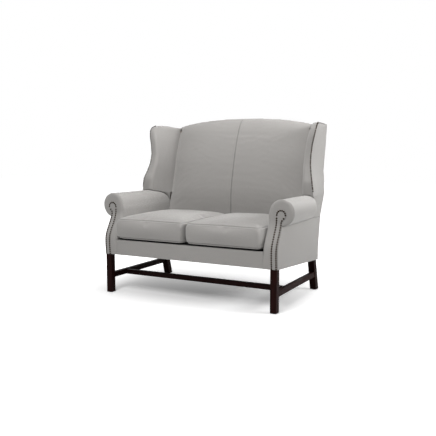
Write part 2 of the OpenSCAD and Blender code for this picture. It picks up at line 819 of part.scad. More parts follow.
module outside_back() {
    cols = 10;
    rows = 12;
    low = under_at(rear_y);
    function row(j, back) = [
        for (i = [0:cols])
            let (
                q = 2 * i / cols - 1,
                z = low + (crown_at(panel_in * q) - back_top_drop - low) * j / rows,
                x = q * (z < crease_z ? panel_out : wing_rear_x(z))
            )
            [x, rear_at(z) - (back ? 0 : panel_t), z]
    ];
    color(fabric_c) slab([for (j = [0:rows]) row(j, false)], [for (j = [0:rows]) row(j, true)]);
}

// Seat cushions: rings round a rounded plan whose sides draw in between the corners, from the
// middle of the underside out to the bottom seam, up to the top seam and in over the crown

cushion_gap = 2;
cushion_pull = 6;
cushion_corner = 12;
ring_points = 48;
ring_out_share = [0.3, 0.62, 0.86, 0.958, 0.986, 1, 1, 0.99, 0.978, 0.86, 0.62, 0.3];
ring_pull_share = [0, 0, 0.3, 0.8, 1, 0, 0, 1, 0.8, 0.3, 0, 0];
ring_up_share = [0, 0, 0, 0.03, 0.12, 0.35, 0.78, 0.96, 1.02, 1.14, 1.2, 1.22];

module seat_cushion() {
    wide = seat_half - cushion_gap * 1.5;
    deep = back_front_y - cushion_front_y - cushion_gap;
    mid = [seat_half / 2, cushion_front_y + deep / 2];
    tall = cushion_seam_z - deck_z;
    function reach(a, w, d) =
        let (c = abs(cos(a)), s = abs(sin(a)), n = cushion_corner)
        1 / pow(pow(c / w, n) + pow(s / d, n), 1 / n);
    function ring(k) = [
        for (i = [0:ring_points - 1])
            let (
                a = 360 * i / ring_points,
                edge = ring_out_share[k],
                pull = cushion_pull * pow(cos(2 * a), 2) * ring_pull_share[k],
                w = wide / 2 - pull,
                d = deep / 2 - pull,
                r = reach(a, w, d) * edge,
                up = ring_up_share[k],
                crown = max(0, up - 1) * cushion_crown / 0.22
            )
            [mid.x + r * cos(a), mid.y + r * sin(a),
                deck_z + (up > 1 ? tall + crown : tall * up)]
    ];
    n = len(ring_out_share);
    m = ring_points;
    color(fabric_c) polyhedron(
        points = [
            [mid.x, mid.y, deck_z], each [for (k = [0:n - 1]) each ring(k)],
            [mid.x, mid.y, cushion_seam_z + cushion_crown],
        ],
        faces = [
            for (i = [0:m - 1]) [0, 1 + i, 1 + (i + 1) % m],
            for (k = [0:n - 2]) for (i = [0:m - 1]) each [
                [1 + k * m + i, 1 + (k + 1) * m + i, 1 + (k + 1) * m + (i + 1) % m],
                [1 + k * m + i, 1 + (k + 1) * m + (i + 1) % m, 1 + k * m + (i + 1) % m],
            ],
            for (i = [0:m - 1]) [1 + (n - 1) * m + i, n * m + 1, 1 + (n - 1) * m + (i + 1) % m],
        ]
    );
}

// The left side mirrors the right

placed() cross_stretcher();
placed() leg_glides();
placed() leg_dowels();
placed() front_seat_rail();
placed() rear_seat_rail();
placed() centre_seat_rail();
placed() corner_blocks();
placed() seat_webbing();
placed() seat_deck();
placed() dust_cover();
placed() back_top_rail();
placed() back_lower_rail();
placed() back_webbing();
placed() front_border();
placed() inside_back();
placed() outside_back();
placed(-1) front_leg();  // front_leg_left
placed() front_leg();  // front_leg_right
placed(-1) rear_leg();  // rear_leg_left
placed() rear_leg();  // rear_leg_right
placed(-1) side_stretcher();  // side_stretcher_left
placed() side_stretcher();  // side_stretcher_right
placed(-1) side_seat_rail();  // side_seat_rail_left
placed() side_seat_rail();  // side_seat_rail_right
placed(-1) arm_post();  // arm_post_left
placed() arm_post();  // arm_post_right
placed(-1) arm_board();  // arm_board_left
placed() arm_board();  // arm_board_right
placed(-1) back_post();  // back_post_left
placed() back_post();  // back_post_right
placed(-1) wing_post();  // wing_post_left
placed() wing_post();  // wing_post_right
placed(-1) wing_top_rail();  // wing_top_rail_left
placed() wing_top_rail();  // wing_top_rail_right
placed(-1) wing_bottom_rail();  // wing_bottom_rail_left
placed() wing_bottom_rail();  // wing_bottom_rail_right
placed(-1) arm_front();  // arm_front_left
placed() arm_front();  // arm_front_right
placed(-1) arm_pad();  // arm_pad_left
placed() arm_pad();  // arm_pad_right
placed(-1) outer_arm();  // outer_arm_left
placed() outer_arm();  // outer_arm_right
placed(-1) facing();  // facing_left
placed() facing();  // facing_right
placed(-1) facing_nails();  // facing_nails_left
placed() facing_nails();  // facing_nails_right
placed(-1) wing_pad();  // wing_pad_left
placed() wing_pad();  // wing_pad_right
placed(-1) wing_outer();  // wing_outer_left
placed() wing_outer();  // wing_outer_right
placed(-1) wing_nails();  // wing_nails_left
placed() wing_nails();  // wing_nails_right
placed(-1) seat_cushion();  // seat_cushion_left
placed() seat_cushion();  // seat_cushion_right
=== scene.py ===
"""A high back settee: covers, loose cushions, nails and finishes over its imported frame."""

from __future__ import annotations

import logging
import math
import re
from collections.abc import Iterable, Iterator
from contextlib import contextmanager
from dataclasses import dataclass
from enum import Enum
from functools import reduce
from itertools import product

import bmesh
import bpy
import numpy as np
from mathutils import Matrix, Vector
from mathutils.bvhtree import BVHTree
from mathutils.kdtree import KDTree

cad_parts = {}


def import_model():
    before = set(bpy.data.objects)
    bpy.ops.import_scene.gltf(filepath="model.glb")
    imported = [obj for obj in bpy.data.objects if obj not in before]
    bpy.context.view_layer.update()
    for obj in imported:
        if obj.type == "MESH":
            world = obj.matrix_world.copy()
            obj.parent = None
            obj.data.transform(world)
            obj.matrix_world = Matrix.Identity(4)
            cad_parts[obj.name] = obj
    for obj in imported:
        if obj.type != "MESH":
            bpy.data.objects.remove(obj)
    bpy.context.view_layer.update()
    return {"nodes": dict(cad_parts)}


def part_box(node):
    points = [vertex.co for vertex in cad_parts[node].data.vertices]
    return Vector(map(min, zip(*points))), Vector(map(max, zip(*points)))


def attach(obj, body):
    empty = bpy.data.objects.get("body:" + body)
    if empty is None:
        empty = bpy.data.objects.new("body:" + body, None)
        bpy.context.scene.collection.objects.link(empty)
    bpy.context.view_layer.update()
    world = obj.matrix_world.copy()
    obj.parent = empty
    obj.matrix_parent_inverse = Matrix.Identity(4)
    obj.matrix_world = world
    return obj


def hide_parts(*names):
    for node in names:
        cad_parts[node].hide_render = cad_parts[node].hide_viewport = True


log = logging.getLogger("settee")

Node = bpy.types.Node
Piece = bpy.types.Object
Socket = bpy.types.NodeSocket
Solids = dict[str, Piece]
Triple = tuple[float, float, float]

MAIN_BODY = "frame"
SIDES = {"left": -1.0, "right": 1.0}
BACKWARD = (0.0, 1.0, 0.0)
DOWN = (0.0, 0.0, -1.0)
WHITE = (1.0, 1.0, 1.0)

# All in metres: what is as good as nothing, how near doubled points lie, the gap that stays
# between pieces that rest on each other, the spacing of points along a seam, and how far the
# inside back's sides and the wings' inner edges fall to the rear.
TINY = 1e-9
DOUBLED = 1e-5
REST_GAP = 0.0004
SEAM_STEP = 0.0015
SIDE_FALL = 0.014


class Axis(Enum):
    """The way that a grain runs, as the turn that reads it along Z."""

    X = (0.0, math.pi / 2, 0.0)
    Y = (math.pi / 2, 0.0, 0.0)
    Z = (0.0, 0.0, 0.0)


# ------------------------------ node helpers


class Graph:
    """Adds the nodes of one tree and feeds their inputs."""

    def __init__(self, tree: bpy.types.NodeTree) -> None:
        """Starts on an empty tree."""
        self.tree = tree

    def add(self, kind: str, **values: object) -> Node:
        """Adds a node, sets its properties and feeds its inputs.

        Args:
            kind: The node's type.
            values: Properties by name, and inputs as feed takes them.

        Returns:
            The new node.
        """
        node = self.tree.nodes.new(kind)
        for name, value in values.items():
            if name.startswith("in_"):
                self.feed(node, **{name: value})
            else:
                setattr(node, name, value)
        return node

    def feed(self, node: Node, **values: object) -> None:
        """Sets or links a node's inputs.

        Args:
            node: The node.
            values: Numbers, colours, outputs, or nodes whose first output is taken. Each goes
                by "in_" and its input's number, or its name with "_" for a space.
        """
        for name, value in values.items():
            key = name.removeprefix("in_").replace("_", " ")
            socket = node.inputs[int(key) if key.isdigit() else key]
            if isinstance(value, Node):
                value = value.outputs[0]
            if isinstance(value, Socket):
                self.tree.links.new(value, socket)
            else:
                socket.default_value = (*value, 1.0) if socket.type == "RGBA" else value

    def math(self, operation: str, *terms: object, clamp: bool = False) -> Socket:
        """Adds a Math node.

        Args:
            operation: The node's operation.
            terms: What its inputs are fed, in order.
            clamp: Whether the result is kept from 0 to 1.

        Returns:
            The result.
        """
        inputs = {f"in_{place}": term for place, term in enumerate(terms)}
        node = self.add("ShaderNodeMath", operation=operation, use_clamp=clamp, **inputs)
        return node.outputs[0]

    def fold(self, operation: str, terms: Iterable[object]) -> Socket:
        """Joins several terms, one after the other, with Math nodes of one operation."""
        return reduce(lambda first, second: self.math(operation, first, second), terms)

    def fit(self, value: object, factor: float, lift: float) -> Socket:
        """Multiplies a value, lifts it, and keeps it from 0 to 1."""
        return self.math("MULTIPLY_ADD", value, factor, lift, clamp=True)

    def mix(self, share: object, first: object, second: object) -> Socket:
        """Mixes two colours, of which the second shows by a share from 0 to 1."""
        node = self.add("ShaderNodeMix", data_type="RGBA", in_0=share, in_6=first, in_7=second)
        return node.outputs[2]

    def lay(self, tone: Triple, colour: object, mask: Socket, share: float) -> Socket:
        """Lays a tone over a colour, by a mask and the share of it that shows."""
        return self.mix(self.math("MULTIPLY", mask, share), colour, tone)

    def noise(
        self, vector: object, scale: object, detail: float = 2.0, roughness: float = 0.5
    ) -> Socket:
        """Adds a noise texture.

        Args:
            vector: Where the noise is read.
            scale: Its repeats to a metre, or a tuple of them for X, Y and Z.
            detail: Its layers.
            roughness: How strong its fine layers are.

        Returns:
            The noise's value.
        """
        if isinstance(scale, tuple):
            vector = self.add("ShaderNodeMapping", in_Vector=vector, in_Scale=scale)
            scale = 1.0
        node = self.add("ShaderNodeTexNoise", in_Vector=vector, in_Scale=scale)
        self.feed(node, in_Detail=detail, in_Roughness=roughness)
        return node.outputs[0]

    def bump(self, shader: Node, height: Socket, depth: float) -> None:
        """Raises a shader's surface by a height from 0 to 1, to a depth in metres."""
        relief = self.add("ShaderNodeBump", in_Distance=depth, in_Height=height)
        self.feed(shader, in_Normal=relief)


def blank_graph(owner: bpy.types.Material | bpy.types.World) -> Graph:
    """Empties the nodes of a material or a world, and gives its graph."""
    owner.use_nodes = True
    owner.node_tree.nodes.clear()
    return Graph(owner.node_tree)


def new_group(
    name: str, kind: str, inputs: dict[str, str], outputs: dict[str, str]
) -> tuple[Graph, bpy.types.NodeOutputs, Node]:
    """Starts a node group.

    Args:
        name: The group's name.
        kind: Shader or Geometry.
        inputs: The type of each input by name, such as Float.
        outputs: The type of each output by name.

    Returns:
        The group's graph, what it is given, and the node that takes its results.
    """
    tree = bpy.data.node_groups.new(name, f"{kind}NodeTree")
    for way, sockets in (("INPUT", inputs), ("OUTPUT", outputs)):
        for label, form in sockets.items():
            tree.interface.new_socket(name=label, in_out=way, socket_type=f"NodeSocket{form}")
    graph = Graph(tree)
    return graph, graph.add("NodeGroupInput").outputs, graph.add("NodeGroupOutput")


def weave_group() -> bpy.types.NodeTree:
    """Makes the plain weave: threads over and under each other on every side of a piece.

    Returns:
        A group with the weave's Height, and the Shade of its uneven threads.
    """
    graph, given, result = new_group(
        "plain_weave",
        "Shader",
        {"Vector": "Vector", "Pitch": "Float"},
        {"Height": "Float", "Shade": "Float"},
    )
    side_sharpness = 4.0
    slub_long, slub_across = 160.0, 700.0
    place = graph.add("ShaderNodeSeparateXYZ", in_0=given["Vector"])
    turns = graph.math("DIVIDE", math.pi, given["Pitch"])
    waves = [graph.math("SINE", graph.math("MULTIPLY", axis, turns)) for axis in place.outputs]
    geometry = graph.add("ShaderNodeNewGeometry")
    normal = graph.add("ShaderNodeSeparateXYZ", in_0=geometry.outputs["Normal"])
    shares = [
        graph.math("POWER", graph.math("ABSOLUTE", axis), side_sharpness)
        for axis in normal.outputs
    ]
    total = graph.fold("ADD", shares)
    sides = []
    for part, (across, along) in zip(shares, ((1, 2), (0, 2), (0, 1))):
        over = graph.fit(graph.math("MULTIPLY", waves[across], waves[along]), 0.5, 0.5)
        under = graph.math("SUBTRACT", 1.0, over)
        warp = graph.math("MULTIPLY", graph.math("ABSOLUTE", waves[across]), over)
        weft = graph.math("MULTIPLY", graph.math("ABSOLUTE", waves[along]), under)
        cloth = graph.math("ADD", warp, weft)
        sides.append(graph.math("MULTIPLY", cloth, graph.math("DIVIDE", part, total)))
    slubs = []
    for along in range(3):
        stretch = tuple(slub_long if axis == along else slub_across for axis in range(3))
        slubs.append(graph.noise(given["Vector"], stretch, 1.0))
    shade = graph.math("MULTIPLY", graph.fold("ADD", slubs), 1 / len(slubs))
    graph.feed(result, in_Height=graph.fold("ADD", sides), in_Shade=shade)
    return graph.tree


def wear_group() -> bpy.types.NodeTree:
    """Makes a group with the Mask of soft, large patches of handling and dust."""
    graph, given, result = new_group(
        "handling", "Shader", {"Vector": "Vector", "Reach": "Float"}, {"Mask": "Float"}
    )
    patches = graph.noise(given["Vector"], given["Reach"], 4.0, 0.6)
    graph.feed(result, in_Mask=graph.fit(patches, 2.4, -0.7))
    return graph.tree


def grain_group() -> bpy.types.NodeTree:
    """Makes wood grain that runs along Z of the given place.

    Returns:
        A group with the Figure of the growth rings and the Pores between them.
    """
    graph, given, result = new_group(
        "wood_grain", "Shader", {"Vector": "Vector"}, {"Figure": "Float", "Pores": "Float"}
    )
    broad, fine = (26.0, 26.0, 2.2), (900.0, 900.0, 26.0)
    bands, pore_level = 46.0, 0.62
    rings = graph.noise(given["Vector"], broad, 3.0)
    lines = graph.math("SINE", graph.math("MULTIPLY", rings, bands))
    pores = graph.noise(given["Vector"], fine)
    graph.feed(
        result,
        in_Figure=graph.fit(lines, 0.5, 0.5),
        in_Pores=graph.math("GREATER_THAN", pores, pore_level),
    )
    return graph.tree


class Effects:
    """The shader effects that several finishes share, each made once."""

    makers = {"plain_weave": weave_group, "handling": wear_group, "wood_grain": grain_group}

    @classmethod
    def use(
        cls, graph: Graph, name: str, vector: object, **values: float
    ) -> bpy.types.NodeOutputs:
        """Places a shared effect in a material.

        Args:
            graph: The material's graph.
            name: The effect's name.
            vector: Where it is read.
            values: The effect's other inputs, as feed takes them.

        Returns:
            The effect's outputs.
        """
        tree = bpy.data.node_groups.get(name) or cls.makers[name]()
        node = graph.add("ShaderNodeGroup", node_tree=tree, in_Vector=vector, **values)
        return node.outputs


# ------------------------------ finishes


@dataclass(frozen=True)
class Finish:
    """A finish that can be put on a piece."""

    name: str
    colour: Triple
    roughness: float

    def tone(self, factor: float, lift: float = 0.0) -> Triple:
        """Gives the colour times a factor and lifted, with no part of it over 1."""
        return tuple(min(1.0, part * factor + lift) for part in self.colour)

    def material(self) -> bpy.types.Material:
        """Gives the finish's material, and makes it on first use."""
        made = bpy.data.materials.get(self.name)
        if made is None:
            made = bpy.data.materials.new(self.name)
            graph = blank_graph(made)
            shader = graph.add("ShaderNodeBsdfPrincipled")
            graph.feed(shader, in_Base_Color=self.colour, in_Roughness=self.roughness)
            graph.add("ShaderNodeOutputMaterial", in_Surface=shader)
            self.dress(graph, shader, graph.add("ShaderNodeTexCoord").outputs["Object"])
        return made

    def dress(self, graph: Graph, shader: Node, place: Socket) -> None:
        """Adds what the finish shows up close.

        Args:
            graph: The material's graph.
            shader: Its Principled BSDF.
            place: Object coordinates.
        """

    def paint(self, piece: Piece) -> None:
        """Puts the finish alone on a piece."""
        piece.data.materials.clear()
        piece.data.materials.append(self.material())


@dataclass(frozen=True)
class WovenCloth(Finish):
    """A plain woven cloth with slightly uneven threads.

    Attributes:
        pitch: The spacing of its threads, in metres.
        relief: How high they stand, in metres.
        sheen: The strength of its nap.
        uneven: How far its threads differ in tone.
        seam_mask: Whether a painted shade is laid along its pieces' seams.
    """

    pitch: float = 0.0016
    relief: float = 0.0003
    sheen: float = 0.3
    uneven: float = 0.16
    seam_mask: bool = False

    def dress(self, graph: Graph, shader: Node, place: Socket) -> None:
        """Adds the weave with a painted shade in the gaps between its threads, the uneven threads,
        soft handling marks and a painted shade along the seams.
        """
        weave = Effects.use(graph, "plain_weave", place, in_Pitch=self.pitch)
        marks = Effects.use(graph, "handling", place, in_Reach=4.0)
        deep, pale = self.tone(1 - self.uneven * 2), self.tone(1 + self.uneven)
        # Painted shade: the weave's low places, the gaps between its threads, take a darker tone.
        thread_gap_shade, worn, seam_shade = self.tone(0.8), self.tone(0.93), self.tone(0.3)
        worn_share, seam_shade_share = 0.4, 0.75
        colour = graph.mix(weave["Shade"], deep, pale)
        colour = graph.mix(graph.fit(weave["Height"], -0.5, 0.5), colour, thread_gap_shade)
        colour = graph.lay(worn, colour, marks["Mask"], worn_share)
        # Painted shade: a dark tone is laid along each seam, where its groove is shaded.
        if self.seam_mask:
            seam = graph.add("ShaderNodeAttribute", attribute_name="seam")
            colour = graph.lay(seam_shade, colour, seam.outputs["Fac"], seam_shade_share)
        graph.feed(
            shader,
            in_Base_Color=colour,
            in_Sheen_Weight=self.sheen,
            in_Sheen_Roughness=0.5,
            in_Specular_IOR_Level=0.2,
        )
        graph.bump(shader, weave["Height"], self.relief)


@dataclass(frozen=True)
class Wood(Finish):
    """Wood whose grain runs one way, raw or under a stain and a clear coat.

    Attributes:
        along: The way that the grain runs.
        coat: The strength of the clear coat.
        gloss: How strongly the wood itself mirrors light.
        contrast: How far the growth rings differ in tone.
        wear: How strongly the rubbed patches show.
    """

    along: Axis = Axis.Z
    coat: float = 0.0
    gloss: float = 0.4
    contrast: float = 0.2
    wear: float = 0.2

    def dress(self, graph: Graph, shader: Node, place: Socket) -> None:
        """Adds the figure, the pores, the coat and the rubbed patches."""
        turned = graph.add("ShaderNodeMapping", in_Rotation=self.along.value, in_Vector=place)
        grain = Effects.use(graph, "wood_grain", turned)
        marks = Effects.use(graph, "handling", place, in_Reach=9.0)["Mask"]
        late, early = self.tone(1 - self.contrast), self.tone(1 + self.contrast)
        pore, rubbed = self.tone(0.35), self.tone(1.5)
        pore_share, rubbed_dullness = 0.6, 0.16
        colour = graph.mix(grain["Figure"], late, early)
        colour = graph.lay(pore, colour, grain["Pores"], pore_share)
        graph.feed(
            shader,
            in_Base_Color=graph.lay(rubbed, colour, marks, self.wear),
            in_Roughness=graph.fit(marks, rubbed_dullness, self.roughness),
            in_Coat_Weight=self.coat,
            in_Coat_Roughness=0.16,
            in_Specular_IOR_Level=self.gloss,
        )
        graph.bump(shader, grain["Pores"], -0.0001)


@dataclass(frozen=True)
class AntiqueMetal(Finish):
    """Darkened metal that is rubbed brighter in places."""

    bright: Triple

    def dress(self, graph: Graph, shader: Node, place: Socket) -> None:
        """Adds the darkened and rubbed patches and a hammered surface."""
        patch_scale, hammer_scale, hammer_depth = 130.0, 900.0, 0.0001
        rubbed_shine = -0.15
        patches = graph.fit(graph.noise(place, patch_scale), 2.6, -0.9)
        graph.feed(
            shader,
            in_Metallic=1.0,
            in_Base_Color=graph.mix(patches, self.colour, self.bright),
            in_Roughness=graph.fit(patches, rubbed_shine, self.roughness),
        )
        graph.bump(shader, graph.noise(place, hammer_scale, 1.0), hammer_depth)


@dataclass(frozen=True)
class MouldedPlastic(Finish):
    """Plain moulded plastic with a fine grain."""

    def dress(self, graph: Graph, shader: Node, place: Socket) -> None:
        """Adds the grain and the scuffs."""
        grain_scale, grain_depth = 2500.0, 0.00008
        scuffed = self.tone(1.8, 0.01)
        marks = Effects.use(graph, "handling", place, in_Reach=60.0)
        graph.feed(shader, in_Base_Color=graph.mix(marks["Mask"], self.colour, scuffed))
        graph.bump(shader, graph.noise(place, grain_scale, 1.0), grain_depth)


def show_wood(along: Axis) -> Wood:
    """Gives the dark stained wood of the legs, with its grain along an axis."""
    name, stain = f"dark_mahogany_{along.name.lower()}", (0.0095, 0.0013, 0.0009)
    return Wood(name, stain, 0.42, along, coat=0.02, gloss=0.05, contrast=0.3, wear=0.15)


def frame_wood(along: Axis) -> Wood:
    """Gives the wood of the hidden frame, with its grain along an axis, in a colour darker than raw
    beech as a painted shade where it shows through gaps.
    """
    # The colour is partly painted shade: darker than raw beech, so the frame seen through gaps
    # between pads reads as shadow.
    return Wood(f"beech_darkened_as_shade_{along.name.lower()}", (0.2, 0.14, 0.09), 0.8, along, wear=0.3)


COVER = WovenCloth("warm_grey_cover", (0.315, 0.304, 0.292), 0.9, uneven=0.2, seam_mask=True)
BLACK_CLOTH = WovenCloth("black_lining", (0.012, 0.012, 0.013), 0.95, pitch=0.001, sheen=0.1)
STRAPPING = WovenCloth("jute_webbing", (0.36, 0.28, 0.17), 0.9, pitch=0.003, relief=0.0006)
NAIL_METAL = AntiqueMetal(
    "antique_nail_metal", (0.014, 0.009, 0.006), 0.42, bright=(0.045, 0.029, 0.019)
)
GLIDE_PLASTIC = MouldedPlastic("glide_plastic", (0.03, 0.03, 0.03), 0.6)


# ------------------------------ mesh work


def link_piece(name: str, data: bpy.types.ID) -> Piece:
    """Makes an object of a mesh, a curve, a lamp or a camera, and links it into the scene."""
    piece = bpy.data.objects.new(name, data)
    bpy.context.scene.collection.objects.link(piece)
    return piece


def to_mesh_piece(name: str, vertices: Iterable[Triple], faces: list) -> Piece:
    """Makes a piece from points, in metres, and from the faces' point numbers."""
    mesh = bpy.data.meshes.new(name)
    mesh.from_pydata([tuple(v) for v in vertices], [], faces)
    mesh.update()
    return link_piece(name, mesh)


def rows_of(items: bpy.types.bpy_prop_collection, name: str) -> np.ndarray:
    """Reads one vector of each item, as rows of x, y and z."""
    found = np.empty(len(items) * 3)
    items.foreach_get(name, found)
    return found.reshape(-1, 3)


def points_of(piece: Piece) -> np.ndarray:
    """Gives a piece's points."""
    return rows_of(piece.data.vertices, "co")


def normals_of(piece: Piece) -> np.ndarray:
    """Gives the normals at a piece's points."""
    return rows_of(piece.data.vertex_normals, "vector")


def move_points(piece: Piece, points: np.ndarray) -> None:
    """Moves a piece's points to new places."""
    piece.data.vertices.foreach_set("co", np.ascontiguousarray(points, dtype=np.float32).ravel())
    piece.data.update()


def swell(piece: Piece, height: np.ndarray) -> None:
    """Moves each of a piece's points out along its normal, in metres."""
    move_points(piece, points_of(piece) + normals_of(piece) * height[:, None])


def share(values: np.ndarray) -> np.ndarray:
    """Keeps values from 0 to 1."""
    return np.clip(values, 0, 1)


def near_least(values: np.ndarray, reach: float) -> np.ndarray:
    """Gives 1 at the least value, which falls to 0 at a reach above it."""
    return share(1 - (values - values.min()) / reach)


def looks_down(piece: Piece) -> np.ndarray:
    """Gives how far each of a piece's points looks down, from 0 to 1."""
    steepness = 2.5
    return share(-normals_of(piece)[:, 2] * steepness)


def copy_of(source: Piece, name: str, quads: bool = True) -> Piece:
    """Copies a solid's shape into a new piece with its points joined.

    Args:
        source: The solid's object.
        name: The new piece's name.
        quads: Whether pairs of triangles are joined.

    Returns:
        The new piece.
    """
    work = bmesh.new()
    work.from_mesh(source.data)
    bmesh.ops.remove_doubles(work, verts=work.verts, dist=DOUBLED)
    if quads:
        bmesh.ops.join_triangles(
            work,
            faces=work.faces,
            angle_face_threshold=math.radians(40),
            angle_shape_threshold=math.radians(60),
        )
    work.verts.index_update()
    vertices = [v.co[:] for v in work.verts]
    faces = [[v.index for v in f.verts] for f in work.faces]
    work.free()
    return to_mesh_piece(name, vertices, faces)


@contextmanager
def edited(piece: Piece) -> Iterator[bmesh.types.BMesh]:
    """Opens a piece's mesh for edits, and writes it back after them."""
    work = bmesh.new()
    work.from_mesh(piece.data)
    yield work
    work.to_mesh(piece.data)
    work.free()


def take_in(piece: Piece, other: Piece) -> None:
    """Makes another piece a part of a piece, and removes it."""
    with edited(piece) as work:
        work.from_mesh(other.data)
    bpy.data.objects.remove(other)


def shown_mesh(source: Piece) -> bpy.types.Mesh:
    """Gives the plain mesh that an object shows with its curve or modifiers."""
    graph = bpy.context.evaluated_depsgraph_get()
    return bpy.data.meshes.new_from_object(source.evaluated_get(graph))


def apply_modifiers(piece: Piece) -> None:
    """Makes what a piece's modifiers show its own mesh, and takes the modifiers off."""
    made = shown_mesh(piece)
    piece.modifiers.clear()
    piece.data = made


def modify(piece: Piece, kind: str, **settings: object) -> bpy.types.Modifier:
    """Puts a modifier of some kind, with its settings by name, on a piece."""
    modifier = piece.modifiers.new(kind.lower(), kind)
    for name, value in settings.items():
        setattr(modifier, name, value)
    return modifier


def turn_edges(piece: Piece, width: float, angle: float) -> None:
    """Rounds a piece's edges over an angle in degrees, to a width in metres."""
    limit = {"limit_method": "ANGLE", "angle_limit": math.radians(angle)}
    modify(piece, "BEVEL", width=width, segments=3, **limit)
    apply_modifiers(piece)


def subdivide_once(piece: Piece) -> None:
    """Makes a piece's mesh twice as fine and smooth."""
    modify(piece, "SUBSURF", levels=1, render_levels=1)
    apply_modifiers(piece)


def cord_along(name: str, line: np.ndarray, radius: float) -> Piece:
    """Makes a round cord of a radius along a line of points, in metres."""
    curve = bpy.data.curves.new(name, "CURVE")
    curve.dimensions = "3D"
    curve.bevel_depth = radius
    curve.bevel_resolution = 2
    curve.use_fill_caps = True
    spline = curve.splines.new("POLY")
    spline.points.add(len(line) - 1)
    spline.points.foreach_set("co", np.column_stack([line, np.ones(len(line))]).ravel())
    source = link_piece(name, curve)
    mesh = shown_mesh(source)
    bpy.data.objects.remove(source)
    return link_piece(name, mesh)


def smooth_faces(piece: Piece, angle: float | None = None) -> None:
    """Shades a piece smooth, but for edges over an angle in degrees."""
    for polygon in piece.data.polygons:
        polygon.use_smooth = True
    if angle is not None:
        piece.data.set_sharp_from_angle(angle=math.radians(angle))


def raise_top(piece: Piece, rise: float) -> None:
    """Raises a piece's top edge, in metres."""
    points = points_of(piece)
    points[:, 2] += rise * near_least(-points[:, 2], rise * 4)
    move_points(piece, points)


def tree_of(*pieces: Piece) -> BVHTree:
    """Makes one search tree of the faces of some pieces."""
    vertices: list = []
    faces: list = []
    for piece in pieces:
        start = len(vertices)
        vertices.extend(v.co[:] for v in piece.data.vertices)
        faces.extend([start + i for i in p.vertices] for p in piece.data.polygons)
    return BVHTree.FromPolygons(vertices, faces)


def struck(tree: BVHTree, rays: Iterable[tuple[Triple, Triple]], reach: float) -> list[Triple]:
    """Finds where rays first meet some faces.

    Args:
        tree: The faces.
        rays: Each ray's start and the way that it goes.
        reach: How far the rays go, in metres.

    Returns:
        The places, of the rays that meet a face.
    """
    places = (tree.ray_cast(Vector(start), Vector(way), reach)[0] for start, way in rays)
    return [place[:] for place in places if place is not None]


def settle_on(piece: Piece, below: BVHTree, reach: float) -> None:
    """Lets a piece's underside down onto what is under it.

    Args:
        piece: The piece.
        below: The faces under it.
        reach: How high above them its points still come down, in metres.
    """
    points = points_of(piece)
    heights = np.full(len(points), reach)
    for index, point in enumerate(points):
        height = below.ray_cast(Vector(point), Vector(DOWN), reach)[3]
        if height is not None:
            heights[index] = height
    near = 1 - heights / reach
    whole = max(0.0, heights.min() - REST_GAP) * near**2
    own = np.maximum(0.0, heights - REST_GAP) * np.minimum(1.0, near * 4)
    points[:, 2] -= whole + np.maximum(0.0, own - whole) * looks_down(piece)
    move_points(piece, points)


def stay_clear(piece: Piece, start: np.ndarray, others: BVHTree) -> None:
    """Draws back each point that has come too near to a neighbour.

    Args:
        piece: The piece.
        start: Where its points were while it was clear.
        others: The neighbours' faces.
    """
    moved = points_of(piece) - start
    far = np.linalg.norm(moved, axis=1)
    for index in np.nonzero(far > DOUBLED)[0]:
        room = others.find_nearest(Vector(start[index]), float(far[index]) + REST_GAP)[3]
        if room is not None:
            moved[index] *= min(1.0, max(0.0, room - REST_GAP) / far[index])
    move_points(piece, start + moved)


def even_line(points: list[Triple]) -> np.ndarray:
    """Spaces points evenly along the line through some corners."""
    corners = np.array(points)
    steps = np.linalg.norm(np.diff(corners, axis=0), axis=1)
    lengths = np.concatenate([[0], np.cumsum(steps)])
    wanted = np.arange(0, lengths[-1], SEAM_STEP)
    return np.column_stack([np.interp(wanted, lengths, corners[:, i]) for i in range(3)])


def finish_piece(
    piece: Piece, node: str, body: str = MAIN_BODY
) -> None:
    """Rides a finished piece on its body, hides the solid that it stands for, and logs how many
    points it has.

    Args:
        piece: The piece.
        node: The solid that it stands for.
        body: The body that it rides on.
    """
    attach(piece, body)
    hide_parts(node)
    log.info("%s: %d points", piece.name, len(piece.data.vertices))


def unevenness(points: np.ndarray, seed: int) -> np.ndarray:
    """Gives a soft, even-handed unevenness over a surface.

    Args:
        points: Where it is wanted.
        seed: The number that sets its pattern.

    Returns:
        A value from -1 to 1 for each point.
    """
    wave_lengths, waves_of_each, whole_turn = (0.31, 0.19, 0.12, 0.075), 3, 6.28
    source = np.random.default_rng(seed)
    total = np.zeros(len(points))
    for length in wave_lengths:
        for _ in range(waves_of_each):
            way = source.normal(size=3)
            way /= np.linalg.norm(way)
            start = source.uniform(0, whole_turn)
            total += np.sin(points @ way * 2 * math.pi / length + start) * length
    return total / (np.abs(total).max() + TINY)


